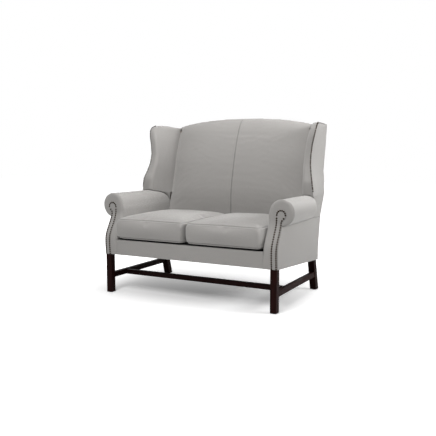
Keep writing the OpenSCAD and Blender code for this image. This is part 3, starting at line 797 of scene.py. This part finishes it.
@dataclass(frozen=True)
class Softener:
    """Turns a plain solid into a stuffed, sewn form of the same size.

    Attributes:
        voxel: The size of the even mesh that it is worked in, in metres, or 0 for none.
        levels: How often the solid is subdivided first.
        sharp: How sharp its hard edges stay before that, from 0 to 1.
        hard_angle: The least angle of a hard edge, in degrees.
        rounding: How often the even mesh is relaxed.
        shrink: How far its surface is drawn in before the stuffing swells it.
        pressure: The stuffing's pressure, or 0 for none.
        steps: How many frames the stuffing is given.
        cap: How far the stuffing may push a point.
        waves: The height of the soft unevenness of the stuffing.
    """

    voxel: float
    levels: int
    sharp: float
    hard_angle: float = 48.0
    rounding: int = 0
    shrink: float = 0.0
    pressure: float = 0.0
    steps: int = 16
    cap: float = 0.009
    waves: float = 0.0006

    def remesh(self, piece: Piece) -> None:
        """Rounds the solid and gives it an even mesh."""
        with edited(piece) as work:
            creases = work.edges.layers.float.new("crease_edge")
            for edge in work.edges:
                angle = math.degrees(edge.calc_face_angle(math.pi))
                edge[creases] = self.sharp if angle > self.hard_angle else 0.0
        modify(piece, "SUBSURF", levels=self.levels, render_levels=self.levels)
        if self.voxel > 0:
            modify(piece, "REMESH", mode="VOXEL", voxel_size=self.voxel)
            modify(piece, "SMOOTH", factor=0.5, iterations=self.rounding)
        apply_modifiers(piece)

    def stuff(self, piece: Piece, held: np.ndarray, seed: int) -> None:
        """Swells the piece with its stuffing.

        Args:
            piece: The piece, evenly meshed.
            held: How firmly each point is held, from 0 to 1.
            seed: The number that sets the unevenness.
        """
        swell(piece, -self.shrink * (1 - held))
        begun = points_of(piece)
        if self.pressure > 0:
            self.press_out(piece, held)
        moved = points_of(piece) - begun
        far = np.linalg.norm(moved, axis=1)
        log.info("%s: stuffing moved it %.4f, at most %.4f", piece.name, far.mean(), far.max())
        kept = np.minimum(1.0, self.cap / np.maximum(far, TINY))
        move_points(piece, begun + moved * kept[:, None])
        swell(piece, unevenness(points_of(piece), seed) * self.waves * (1 - held))

    def press_out(self, piece: Piece, held: np.ndarray) -> None:
        """Simulates the cover as a cloth under the stuffing's pressure, and applies it.

        Args:
            piece: The piece.
            held: How firmly each point is held, from 0 to 1.
        """
        least_hold = 0.02
        pins = piece.vertex_groups.new(name="held")
        for index in np.nonzero(held > least_hold)[0]:
            pins.add([int(index)], float(held[index]), "REPLACE")
        cloth = modify(piece, "CLOTH")
        settings = {
            "quality": 5,
            "mass": 0.3,
            "tension_stiffness": 25,
            "compression_stiffness": 25,
            "shear_stiffness": 12,
            "bending_stiffness": 25,
            "use_pressure": True,
            "uniform_pressure_force": self.pressure,
            "vertex_group_mass": "held",
        }
        for name, value in settings.items():
            setattr(cloth.settings, name, value)
        cloth.settings.effector_weights.gravity = 0
        cloth.collision_settings.use_collision = False
        cloth.point_cache.frame_start = 1
        cloth.point_cache.frame_end = self.steps
        scene = bpy.context.scene
        for step in range(1, self.steps + 1):
            scene.frame_set(step)
        apply_modifiers(piece)
        scene.frame_set(1)
        piece.vertex_groups.clear()


@dataclass(frozen=True)
class Seam:
    """A sewn seam along a line: a narrow groove with a soft rise beside it, and a mask for the
    painted shade along it.

    Attributes:
        depth: The groove's depth, in metres.
        width: The groove's half width.
        rise: The height of the cover beside it.
        beside: How many widths from the line the rise is.
        marked: How many widths the painted shade along the seam is wide.
    """

    depth: float
    width: float
    rise: float
    beside: float = 2.6
    marked: float = 0.75

    def press(self, piece: Piece, line: np.ndarray) -> None:
        """Presses the seam into a piece, and marks where the cover's finish lays a painted shade
        along it.

        Args:
            piece: The piece.
            line: Points along the seam, no further apart than its width.
        """
        finder = KDTree(len(line))
        for index, point in enumerate(line):
            finder.insert(point, index)
        finder.balance()
        away = np.array([finder.find(point)[2] for point in points_of(piece)]) / self.width
        beside, groove = self.bell(away - self.beside), self.bell(away)
        swell(piece, beside * self.rise - groove * self.depth)
        # The seam attribute is the mask of the painted shade along the seam.
        mark = piece.data.attributes.get("seam")
        mark = mark or piece.data.attributes.new("seam", "FLOAT", "POINT")
        old = np.zeros(len(away), dtype=np.float32)
        mark.data.foreach_get("value", old)
        new = self.bell(away / self.marked).astype(np.float32)
        mark.data.foreach_set("value", np.maximum(old, new))

    @staticmethod
    def bell(away: np.ndarray) -> np.ndarray:
        """Gives 1 on a line, which falls softly to 0 at two widths from it."""
        return np.exp(-(away**2))


# ------------------------------ soft pieces


@dataclass
class Assembly:
    """Some of the settee's pieces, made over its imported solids.

    Attributes:
        solids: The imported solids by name.
    """

    solids: Solids

    def build(self) -> None:
        """Makes the pieces."""
        raise NotImplementedError


def side_fall(up: np.ndarray) -> np.ndarray:
    """Gives how far the back's sides fall to the rear, by a height from 0 to 1."""
    return SIDE_FALL * np.minimum(1.0, up * 5) * (1 - up**4)


@dataclass
class SeatCushions(Assembly):
    """The two loose box cushions, with a sewn seam round their top and bottom edges.

    Attributes:
        seams: The heights of the upper and the lower seam, in metres.
        deck_z: The height of the deck that they lie on.
        deck_gap: The gap that stays over it.
        held_z: How high over the deck the cover is held whole, and held at all.
        solid_corner: How square the solids' corners are, as the power of their outline.
        corner: How square the cushions' corners are.
        foot: How much wider a cushion's foot is, as a share.
        foot_z: How high the foot reaches.
        forward: How far the front is filled out.
        bulge: How far the middle of the front swells beyond that.
        work: How the cushions are stuffed.
        seam: How they are sewn.
    """

    seams: tuple[float, float] = (0.478, 0.366)
    deck_z: float = 0.354
    deck_gap: float = 0.0003
    held_z: tuple[float, float] = (0.001, 0.005)
    solid_corner: float = 8.0
    corner: float = 18.0
    foot: float = 0.024
    foot_z: float = 0.03
    forward: float = 0.012
    bulge: float = 0.006
    work: Softener = Softener(0.0075, 2, 0.8, rounding=3, shrink=0.0035, pressure=1.2)
    seam: Seam = Seam(0.0028, 0.0034, 0.0012)

    def build(self) -> None:
        """Makes both cushions."""
        for number, side in enumerate(SIDES):
            node = f"seat_cushion_{side}"
            corners = points_of(self.solids[node])
            low, high = corners.min(axis=0), corners.max(axis=0)
            piece = copy_of(self.solids[node], f"loose_cushion_{side}")
            self.work.remesh(piece)
            self.square_up(piece, low, high)
            whole, free = self.held_z
            height = points_of(piece)[:, 2] - self.deck_z
            self.work.stuff(piece, share((free - height) / (free - whole)), 11 + number)
            subdivide_once(piece)
            least = (low[0], -np.inf, self.deck_z + self.deck_gap)
            most = (high[0], high[1], np.inf)
            move_points(piece, np.clip(points_of(piece), least, most))
            for seam_z in self.seams:
                self.seam.press(piece, self.rim_line(piece, seam_z))
            smooth_faces(piece)
            COVER.paint(piece)
            finish_piece(piece, node, f"{node}_body")

    def square_up(self, piece: Piece, low: np.ndarray, high: np.ndarray) -> None:
        """Fills out a cushion's corners and its front.

        Args:
            piece: The cushion.
            low: The least of its solid's places.
            high: The greatest.
        """
        middle, half = (low + high) / 2, (high - low) / 2
        place = points_of(piece) - middle
        height = place[:, 2] + middle[2] - self.deck_z
        turn = np.arctan2(place[:, 1], place[:, 0])
        across, along = np.abs(np.cos(turn)) / half[0], np.abs(np.sin(turn)) / half[1]

        def reach(power: float) -> np.ndarray:
            """Gives how far an outline of this power reaches at each point's turn."""
            return (across**power + along**power) ** (-1 / power)

        widened = 1 + self.foot * (1 - share(height / self.foot_z)) ** 2
        place[:, :2] *= (reach(self.corner) / reach(self.solid_corner) * widened)[:, None]
        ahead = np.maximum(0.0, -place[:, 1] / half[1])
        level = share(height / (self.seams[0] - self.deck_z))
        full = (1 - share(np.abs(place[:, 0]) / half[0]) ** 4) * np.sin(math.pi * level)
        place[:, 1] -= self.forward * ahead**2 + self.bulge * ahead**6 * full
        move_points(piece, place + middle)

    def rim_line(self, piece: Piece, height: float) -> np.ndarray:
        """Finds the closed line round a cushion at a height in metres."""
        ray_count, outside, reach = 720, 0.8, 1.0
        points = points_of(piece)
        middle = (points.min(axis=0) + points.max(axis=0)) / 2
        middle[2] = height
        rays = []
        for angle in np.linspace(0, 2 * math.pi, ray_count, endpoint=False):
            out = np.array((math.cos(angle), math.sin(angle), 0.0))
            rays.append((middle + out * outside, -out))
        line = struck(tree_of(piece), rays, reach)
        return even_line(line + line[:1])


@dataclass
class InsideBack(Assembly):
    """The padded inside back, sewn up its middle.

    Attributes:
        side: How far from the middle the sides are held, and over what width that begins.
        rear: The factor and the lift that make the rear's normal how firmly it is held.
        fill: How far its front is filled out, in metres.
        fill_z: The heights between which it is, in metres.
        tuck: How far its foot is drawn in behind the cushions, in metres.
        tuck_z: The heights where that is whole and where it ends, in metres.
        work: How it is stuffed.
        seam: How it is sewn.
    """

    side: tuple[float, float] = (0.49, 0.012)
    rear: tuple[float, float] = (1.4, 0.1)
    fill: float = 0.01
    fill_z: tuple[float, float] = (0.5, 1.12)
    tuck: float = 0.008
    tuck_z: tuple[float, float] = (0.48, 0.66)
    work: Softener = Softener(0.008, 2, 1.0, rounding=2, shrink=0.002, pressure=0.3)
    seam: Seam = Seam(0.0034, 0.0036, 0.0012)

    def build(self) -> None:
        """Makes the back, clear of the outside back and of the arms' and wings' pads."""
        near = ["outside_back"] + [f"{k}_pad_{side}" for k in ("arm", "wing") for side in SIDES]
        piece = copy_of(self.solids["inside_back"], "padded_inside_back")
        self.work.remesh(piece)
        start = points_of(piece)
        rear = share(normals_of(piece)[:, 1] * self.rear[0] + self.rear[1])
        sides = share((np.abs(start[:, 0]) - self.side[0]) / self.side[1])
        self.work.stuff(piece, np.maximum(rear, sides), 21)
        self.fill_out(piece)
        stay_clear(piece, start, tree_of(*(self.solids[node] for node in near)))
        subdivide_once(piece)
        self.seam.press(piece, self.middle_line(piece))
        smooth_faces(piece)
        COVER.paint(piece)
        finish_piece(piece, "inside_back")

    def fill_out(self, piece: Piece) -> None:
        """Fills the back's front out between its sides, above the cushions."""
        points = points_of(piece)
        forward = share(-normals_of(piece)[:, 1] * 2)
        across = np.abs(points[:, 0]) / np.abs(points[:, 0]).max()
        low, high = self.fill_z
        up = share((points[:, 2] - low) / (high - low))
        whole, end = self.tuck_z
        foot = share((end - points[:, 2]) / (end - whole))
        points[:, 1] -= self.fill * (1 - across**2.4) * np.sin(math.pi * up) * forward
        points[:, 1] += self.tuck * foot**2 * (3 - 2 * foot) * (1 - across**12) * forward
        points[:, 1] += side_fall(up) * across**6 * forward
        move_points(piece, points)

    def middle_line(self, piece: Piece) -> np.ndarray:
        """Finds the line up the front of the back and over its top, at its middle."""
        step, in_front, over = 0.002, -0.6, 1.4
        tree = tree_of(piece)
        ahead = [((0.0, in_front, z), BACKWARD) for z in np.arange(0.4, 1.2, step)]
        front = struck(tree, ahead, 2.0)
        above = [((0.0, y, over), DOWN) for y in np.arange(front[-1][1], 0.5, step)]
        return even_line(front + struck(tree, above, 0.4))


@dataclass
class PaddedSides(Assembly):
    """The padding of the arms and wings, tight over the frame.

    Attributes:
        drawn: How much of a wing's width is drawn in with the back, in metres.
        lapped: How far a wing's inner edge laps in at the back's side.
        tucked: How far a wing's lower inner corner is tucked down behind the arm.
        turned: How far the underside of a wing's rear end is turned down.
        settled: How high above the arm the wing's underside still comes down to it.
    """

    drawn: float = 0.05
    lapped: float = 0.006
    tucked: float = 0.025
    turned: float = 0.016
    settled: float = 0.08

    def build(self) -> None:
        """Makes the arm pads, the pads on the arms' front and the wing pads."""
        jobs = (
            ("arm_pad", "padded_arm", Softener(0.0, 3, 1.0, waves=0.0008), 0.85, 31),
            ("arm_front", "arm_front_cover", Softener(0.0, 2, 1.0, waves=0.0003), 0.9, 33),
            ("wing_pad", "padded_wing", Softener(0.0, 3, 1.0, waves=0.0008), 0.8, 35),
        )
        for (kind, name, work, fill, seed), side in product(jobs, SIDES):
            node = f"{kind}_{side}"
            piece = copy_of(self.solids[node], f"{name}_{side}")
            work.remesh(piece)
            work.stuff(piece, np.zeros(len(points_of(piece))), seed + (side == "left"))
            if kind == "wing_pad":
                self.draw_in(piece)
                settle_on(piece, tree_of(self.solids[f"arm_pad_{side}"]), self.settled)
                self.tuck_in(piece)
            smooth_faces(piece)
            COVER.paint(piece)
            finish_piece(piece, node)

    def draw_in(self, piece: Piece) -> None:
        """Draws a wing's inner edge back with the side of the inside back."""
        points = points_of(piece)
        across = np.abs(points[:, 0])
        up = (points[:, 2] - points[:, 2].min()) / np.ptp(points[:, 2])
        points[:, 1] += side_fall(up) * near_least(across, self.drawn)
        edge = near_least(across, self.lapped * 4)
        points[:, 0] -= np.sign(points[:, 0]) * self.lapped * edge
        move_points(piece, points)

    def tuck_in(self, piece: Piece) -> None:
        """Tucks a wing's lower inner corner behind the arm, and its rear end behind the back."""
        points = points_of(piece)
        corner = near_least(np.abs(points[:, 0]), self.tucked)
        corner *= near_least(points[:, 2], self.tucked * 2)
        rear = share((points[:, 1] - points[:, 1].max()) / self.turned + 2)
        points[:, 2] -= self.tucked * corner + self.turned * rear * looks_down(piece)
        move_points(piece, points)


@dataclass
class TightCovers(Assembly):
    """The thin padded covers on the outside, whose edges turn over the frame.

    Attributes:
        edge: The width of a cover's turned edge, in metres.
        facing_edge: The width of a facing's.
        flat: The most that a flat face's triangles differ, in degrees.
        hard: The least angle of an edge that is turned, in degrees.
        fold: The radius of an outer wing's rolled edge.
        fold_in: How many radii its middle lies inside the nails.
        fold_behind: How many radii it lies behind them.
        border_rise: How far the front border's top is raised.
    """

    edge: float = 0.0022
    facing_edge: float = 0.0012
    flat: float = 0.6
    hard: float = 50.0
    fold: float = 0.0036
    fold_in: float = 1.15
    fold_behind: float = 1.9
    border_rise: float = 0.009

    def build(self) -> None:
        """Makes the outside back, outer arms and wings, facings and front border."""
        names = {"front_border": "front_border_cover", "outside_back": "outside_back_cover"}
        for side in SIDES:
            names[f"outer_arm_{side}"] = f"outer_arm_cover_{side}"
            names[f"wing_outer_{side}"] = f"outer_wing_cover_{side}"
            names[f"facing_{side}"] = f"arm_facing_{side}"
        for node, name in names.items():
            piece = copy_of(self.solids[node], name, quads=False)
            with edited(piece) as work:
                flat = math.radians(self.flat)
                bmesh.ops.dissolve_limit(
                    work, angle_limit=flat, verts=work.verts, edges=work.edges
                )
            turn_edges(piece, self.facing_edge if "facing" in node else self.edge, self.hard)
            if node == "front_border":
                raise_top(piece, self.border_rise)
            if "wing" in node:
                take_in(piece, self.folded_edge(node.removeprefix("wing_outer_")))
            smooth_faces(piece, 32)
            COVER.paint(piece)
            finish_piece(piece, node)

    def folded_edge(self, side: str) -> Piece:
        """Makes an outer wing cover's rolled edge, behind its nails and along its top.

        Args:
            side: The wing's side, left or right.

        Returns:
            The rolled edge.
        """
        places, looks = nail_heads(self.solids[f"wing_nails_{side}"])
        rear, foot = places[:, 1].max(), places[:, 2].min()
        order = np.argsort(np.arctan2(places[:, 2] - foot, rear - places[:, 1]))
        line, looks = places[order], looks[order, 1:]
        inward = -SIDES[side] * self.fold * self.fold_in
        behind = looks / np.linalg.norm(looks, axis=1)[:, None] * self.fold * self.fold_behind
        line[:, 0] += inward
        line[:, 1:] -= behind
        first = line[0] + (line[0] - line[1]) * 1.5
        top = self.top_edge(self.solids[f"wing_outer_{side}"], line[-1, 1] + self.fold * 3)
        top += (inward, 0.0, self.fold * 0.4)
        return cord_along(f"wing_fold_{side}", np.vstack([first, line, top]), self.fold)

    def top_edge(self, cover: Piece, start: float) -> np.ndarray:
        """Finds the outer corners of an outer wing's top edge.

        Args:
            cover: The solid of the outer wing's cover.
            start: The y that they lie behind.

        Returns:
            The corners, from the front to the rear.
        """
        rows: dict[float, np.ndarray] = {}
        for point in points_of(cover):
            y = round(float(point[1]), 4)
            if y not in rows or abs(point[0]) > abs(rows[y][0]):
                rows[y] = point
        tops = []
        for y in sorted(rows):
            near = [row[2] for other, row in rows.items() if abs(other - y) < 0.02]
            if y > start and max(near) < rows[y][2] + DOUBLED:
                tops.append(rows[y])
        return np.array(tops)


@dataclass
class Linings(Assembly):
    """The black cloth of the deck and the dust cover under the seat.

    Attributes:
        sag: How far the dust cover hangs down at its middle, in metres.
        fullness: The power of that sag's waves, which is smaller where it starts sooner.
        thickness: The dust cover's thickness.
        cells: How many faces the dust cover has across and along.
        edge: The width of the deck's turned edges.
        hard: The least angle of an edge that is turned, in degrees.
        shaded: The least angle of an edge that is shaded sharp, in degrees.
        flap_set: How far the deck's flap lies behind the border's front and the deck's.
        flap_rise: How far the flap goes up into the deck.
    """

    sag: float = 0.004
    fullness: float = 0.7
    thickness: float = 0.0008
    cells: tuple[int, int] = (48, 32)
    edge: float = 0.003
    hard: float = 30.0
    shaded: float = 40.0
    flap_set: float = 0.004
    flap_rise: float = 0.004

    def build(self) -> None:
        """Makes the deck's pad and the dust cover's sheet."""
        deck = copy_of(self.solids["seat_deck"], "black_deck")
        take_in(deck, self.front_flap())
        turn_edges(deck, self.edge, self.hard)
        smooth_faces(deck, self.shaded)
        BLACK_CLOTH.paint(deck)
        finish_piece(deck, "seat_deck")
        cover = self.dust_cover(points_of(self.solids["dust_cover"]))
        BLACK_CLOTH.paint(cover)
        finish_piece(cover, "dust_cover")

    def front_flap(self) -> Piece:
        """Makes the deck's cloth that lies on the front rail, behind the border.

        Returns:
            The flap, a thin slab.
        """
        deck, rail, border = (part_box(n) for n in ("seat_deck", "front_seat_rail", "front_border"))
        low = (deck[0][0], border[0][1] + self.flap_set, rail[1][2] + REST_GAP)
        high = (deck[1][0], deck[0][1] + self.flap_set, deck[0][2] + self.flap_rise)
        faces = [(0, 1, 3, 2), (4, 6, 7, 5), (0, 4, 5, 1)]
        faces += [(2, 3, 7, 6), (0, 2, 6, 4), (1, 5, 7, 3)]
        return to_mesh_piece("deck_flap", product(*zip(low, high)), faces)

    def dust_cover(self, solid: np.ndarray) -> Piece:
        """Makes the sheet under the seat, which sags a little between the rails.

        Args:
            solid: The points of the dust cover's solid.

        Returns:
            The sheet.
        """
        low, high = solid.min(axis=0), solid.max(axis=0)
        front_z = solid[solid[:, 1] < low[1] + REST_GAP][:, 2].max()
        rear_z = solid[solid[:, 1] > high[1] - REST_GAP][:, 2].max()
        across, along = (np.linspace(0, 1, cells + 1) for cells in self.cells)
        u, v = (grid.ravel() for grid in np.meshgrid(across, along))
        dip = self.sag * (np.sin(math.pi * u) * np.sin(math.pi * v)) ** self.fullness
        x = low[0] + (high[0] - low[0]) * u
        y = low[1] + (high[1] - low[1]) * v
        z = front_z + (rear_z - front_z) * v - self.thickness - dip
        wide = len(across)
        starts = [j * wide + i for j, i in product(range(len(along) - 1), range(wide - 1))]
        faces = [(k, k + wide, k + wide + 1, k + 1) for k in starts]
        sheet = to_mesh_piece("dust_cover_sheet", np.column_stack([x, y, z]), faces)
        modify(sheet, "SOLIDIFY", thickness=self.thickness, offset=0.0)
        apply_modifiers(sheet)
        smooth_faces(sheet, self.shaded)
        return sheet


# ------------------------------ nails


def islands_of(solid: Piece) -> list[np.ndarray]:
    """Gives the points of each loose part of a solid."""
    work = bmesh.new()
    work.from_mesh(solid.data)
    bmesh.ops.remove_doubles(work, verts=work.verts, dist=DOUBLED)
    islands, seen = [], set()
    for vertex in work.verts:
        island, stack = [], [vertex]
        while stack:
            one = stack.pop()
            if one not in seen:
                seen.add(one)
                island.append(one.co[:])
                stack.extend(edge.other_vert(one) for edge in one.link_edges)
        if island:
            islands.append(np.array(island))
    work.free()
    return islands


def nail_heads(solid: Piece) -> tuple[np.ndarray, np.ndarray]:
    """Finds where each nail head sits and where it looks.

    Args:
        solid: The solid with a row's heads.

    Returns:
        The middles of the heads' bases, and the ways that they look.
    """
    places, looks = [], []
    for cloud in islands_of(solid):
        middle = cloud.mean(axis=0)
        cloud = cloud - middle
        way = np.linalg.svd(cloud)[2][2]
        height = cloud @ way
        spread = np.linalg.norm(cloud - np.outer(height, way), axis=1)
        if spread[height > 0].mean() > spread[height < 0].mean():
            way, height = -way, -height
        places.append(middle + way * height.min())
        looks.append(way)
    return np.array(places), np.array(looks)


@dataclass
class NailRows(Assembly):
    """The close rows of domed nails along the facings and the wings.

    Attributes:
        radius: A head's radius, in metres.
        rise: A head's height, in metres.
        tilt: The most that a head is tilted, in radians.
        segments: How many faces a head has round it.
        rings: How many it has from pole to pole.
    """

    radius: float = 0.0052
    rise: float = 0.0033
    tilt: float = 0.10
    segments: int = 14
    rings: int = 8

    def build(self) -> None:
        """Makes each row where its solid has its nails."""
        tree = self.node_tree()
        values = {
            "Radius": self.radius,
            "Rise": self.rise,
            "Tilt": self.tilt,
            "Finish": NAIL_METAL.material(),
        }
        for kind, first_seed in (("facing_nails", 5), ("wing_nails", 15)):
            for seed, side in enumerate(SIDES, first_seed):
                node = f"{kind}_{side}"
                places, looks = nail_heads(self.solids[node])
                row = to_mesh_piece(f"{kind}_row_{side}", places, [])
                ways = row.data.attributes.new("look", "FLOAT_VECTOR", "POINT")
                ways.data.foreach_set("vector", looks.astype(np.float32).ravel())
                modifier = modify(row, "NODES", node_group=tree)
                values["Seed"] = seed
                for socket in tree.interface.items_tree:
                    if socket.item_type == "SOCKET" and socket.name in values:
                        modifier[socket.identifier] = values[socket.name]
                apply_modifiers(row)
                finish_piece(row, node)

    def node_tree(self) -> bpy.types.NodeTree:
        """Builds the tree that sets a head on each point.

        Returns:
            The Geometry Nodes tree.
        """
        shape = {"Geometry": "Geometry"}
        sizes = dict.fromkeys(("Radius", "Rise", "Tilt"), "Float")
        inputs = {**shape, **sizes, "Seed": "Int", "Finish": "Material"}
        graph, given, result = new_group("nail_heads", "Geometry", inputs, shape)
        graph.tree.is_modifier = True
        radius, rise, tilt = (given[name] for name in sizes)
        ball = graph.add("GeometryNodeMeshUVSphere", in_Segments=self.segments)
        graph.feed(ball, in_Rings=self.rings, in_Radius=1.0)
        size = graph.add("ShaderNodeCombineXYZ", in_0=radius, in_1=radius, in_2=rise)
        head = graph.add("GeometryNodeTransform", in_Geometry=ball, in_Scale=size)
        look = graph.add("GeometryNodeInputNamedAttribute", data_type="FLOAT_VECTOR")
        graph.feed(look, in_Name="look")
        turn = graph.add("FunctionNodeAlignRotationToVector", axis="Z", in_Vector=look)
        chance = graph.add("FunctionNodeRandomValue", data_type="FLOAT_VECTOR")
        least = graph.math("MULTIPLY", tilt, -1.0)
        graph.feed(chance, in_Min=least, in_Max=tilt, in_Seed=given["Seed"])
        tip = graph.add("FunctionNodeEulerToRotation", in_0=chance)
        tipped = graph.add("FunctionNodeRotateRotation", rotation_space="LOCAL")
        graph.feed(tipped, in_0=turn, in_1=tip)
        heads = graph.add("GeometryNodeInstanceOnPoints", in_Points=given["Geometry"])
        graph.feed(heads, in_Instance=head, in_Rotation=tipped)
        real = graph.add("GeometryNodeRealizeInstances", in_0=heads)
        smooth = graph.add("GeometryNodeSetShadeSmooth", in_0=real)
        painted = graph.add("GeometryNodeSetMaterial", in_Geometry=smooth)
        graph.feed(painted, in_Material=given["Finish"])
        graph.feed(result, in_0=painted)
        return graph.tree


# ------------------------------ solids that stay


@dataclass
class BareParts(Assembly):
    """The legs, stretchers, glides and hidden frame, which keep their solids."""

    def build(self) -> None:
        """Puts a finish on each solid that stays."""
        finishes = {
            "(front|rear)_leg": show_wood(Axis.Z),
            "side_stretcher": show_wood(Axis.Y),
            "cross_stretcher": show_wood(Axis.X),
            "leg_glides": GLIDE_PLASTIC,
            ".*webbing": STRAPPING,
            ".*post|leg_dowels|corner_blocks": frame_wood(Axis.Z),
            "(side|centre)_seat_rail|arm_board|wing.*rail": frame_wood(Axis.Y),
            ".*rail": frame_wood(Axis.X),
        }
        for node, solid in self.solids.items():
            finish = next((f for rule, f in finishes.items() if re.match(rule, node)), None)
            if finish is not None:
                finish.paint(solid)
                log.info("%s: %s", node, finish.name)


# ------------------------------ studio


@dataclass(frozen=True)
class Lamp:
    """A soft rectangular lamp.

    Attributes:
        name: Its name.
        place: Where it hangs.
        aim: What it points at.
        size: Its width and length, in metres.
        power: Its power, in watts.
        spread: How wide its beam is, in degrees.
    """

    name: str
    place: Triple
    aim: Triple
    size: tuple[float, float]
    power: float
    spread: float = 180.0

    def hang(self) -> None:
        """Hangs the lamp."""
        light = bpy.data.lights.new(self.name, "AREA")
        light.shape = "RECTANGLE"
        light.size, light.size_y = self.size
        light.energy = self.power
        light.spread = math.radians(self.spread)
        lamp = link_piece(self.name, light)
        lamp.location = self.place
        way = Vector(self.aim) - Vector(self.place)
        lamp.rotation_euler = way.to_track_quat("-Z", "Y").to_euler()


@dataclass
class Studio:
    """The pale floor, the soft lights and the camera.

    Attributes:
        eye: The camera's place.
        pitch: Its angle below the horizon, in degrees.
        turn: Its turn from the settee's front, in degrees.
        lens: Its focal length, in millimetres.
        lamps: The lamps.
        soft: The strength of the even light all round.
        floor_half: Half the floor's width, in metres.
        floor_colour: The floor's colour.
        darkest: The place on the floor where the camera sees the least painted light, so that the
            floor's shadow stays darkest in front of the settee, in metres.
        fade: How far from there the painted light starts and ends to grow, till the floor is white,
            in metres.
        glow: The painted light that the camera alone sees added to the floor, near and far, which
            lightens the floor's shadow beneath and behind the settee.
    """

    eye: Triple = (1.8402, -3.4616, 0.9016)
    pitch: float = 6.27
    turn: float = 27.90
    lens: float = 50.0
    lamps: tuple[Lamp, ...] = (
        Lamp("overhead", (0.3, -0.3, 3.1), (0.0, 0.0, 0.5), (2.2, 1.6), 48.0),
        Lamp("side", (2.7, 0.3, 1.5), (0.66, 0.15, 1.0), (0.9, 0.9), 13.5, 80.0),
        Lamp("front", (0.3, -2.8, 3.4), (0.0, 0.0, 0.7), (1.6, 1.4), 100.0),
    )
    soft: float = 0.2
    floor_half: float = 14.0
    floor_colour: Triple = (0.86, 0.86, 0.86)
    darkest: Triple = (0.1, -0.75, 0.0)
    fade: tuple[float, float] = (0.3, 2.2)
    glow: tuple[float, float] = (0.14, 1.0)

    def build(self) -> None:
        """Sets up the camera, the lights, the world and the floor."""
        scene = bpy.context.scene
        lens = bpy.data.cameras.new("camera")
        lens.lens = self.lens
        lens.sensor_width = 36.0
        lens.clip_end = 60.0
        scene.camera = link_piece("camera", lens)
        scene.camera.location = self.eye
        tilt = math.radians(90 - self.pitch)
        scene.camera.rotation_euler = (tilt, 0.0, math.radians(self.turn))
        scene.view_settings.view_transform = "Standard"
        self.world()
        for lamp in self.lamps:
            lamp.hang()
        self.floor()

    def world(self) -> None:
        """Makes the even light all round, which is white to the camera."""
        world = bpy.data.worlds.new("studio")
        bpy.context.scene.world = world
        graph = blank_graph(world)
        path = graph.add("ShaderNodeLightPath").outputs
        rays = ("Is Camera Ray", "Is Glossy Ray", "Is Transmission Ray")
        seen = graph.fold("MAXIMUM", [path[ray] for ray in rays])
        soft = graph.add("ShaderNodeBackground", in_Color=WHITE, in_Strength=self.soft)
        white = graph.add("ShaderNodeBackground", in_Color=WHITE, in_Strength=1.0)
        either = graph.add("ShaderNodeMixShader", in_0=seen, in_1=soft, in_2=white)
        graph.add("ShaderNodeOutputWorld", in_0=either)

    def floor(self) -> None:
        """Lays the pale floor, whose shadow shows and whose far parts are white, under a painted
        light that the camera alone sees, least in front of the settee, which lightens the shadow
        beneath and behind it.
        """
        ends = (-self.floor_half, self.floor_half)
        corners = [(x, y, 0.0) for x, y in product(ends, ends)]
        floor = to_mesh_piece("floor", corners, [(0, 2, 3, 1)])
        material = bpy.data.materials.new("pale_floor")
        graph = blank_graph(material)
        place = graph.add("ShaderNodeTexCoord").outputs["Object"]
        away = graph.add("ShaderNodeVectorMath", operation="DISTANCE")
        graph.feed(away, in_0=place, in_1=self.darkest)
        far = graph.add("ShaderNodeMapRange", interpolation_type="SMOOTHSTEP")
        graph.feed(far, in_Value=away.outputs["Value"])
        graph.feed(far, in_From_Min=self.fade[0], in_From_Max=self.fade[1])
        graph.feed(far, in_To_Min=self.glow[0], in_To_Max=self.glow[1])
        # Painted light: a glow that the camera alone sees grows away from a spot in front of the
        # settee, lightening the floor's shadow beneath and behind it and whitening the far floor.
        glow = graph.add("ShaderNodeEmission", in_Color=WHITE, in_Strength=far)
        none = graph.add("ShaderNodeEmission", in_Strength=0.0)
        camera = graph.add("ShaderNodeLightPath").outputs["Is Camera Ray"]
        seen = graph.add("ShaderNodeMixShader", in_0=camera, in_1=none, in_2=glow)
        matt = graph.add("ShaderNodeBsdfDiffuse", in_Color=self.floor_colour)
        both = graph.add("ShaderNodeAddShader", in_0=matt, in_1=seen)
        graph.add("ShaderNodeOutputMaterial", in_Surface=both)
        floor.data.materials.append(material)


def main() -> None:
    """Builds the settee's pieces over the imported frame."""
    logging.basicConfig(level=logging.INFO, format="%(message)s")
    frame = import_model()
    solids = frame["nodes"]
    BareParts(solids).build()
    Linings(solids).build()
    TightCovers(solids).build()
    PaddedSides(solids).build()
    InsideBack(solids).build()
    SeatCushions(solids).build()
    NailRows(solids).build()
    Studio().build()


if __name__ == "__main__":
    main()
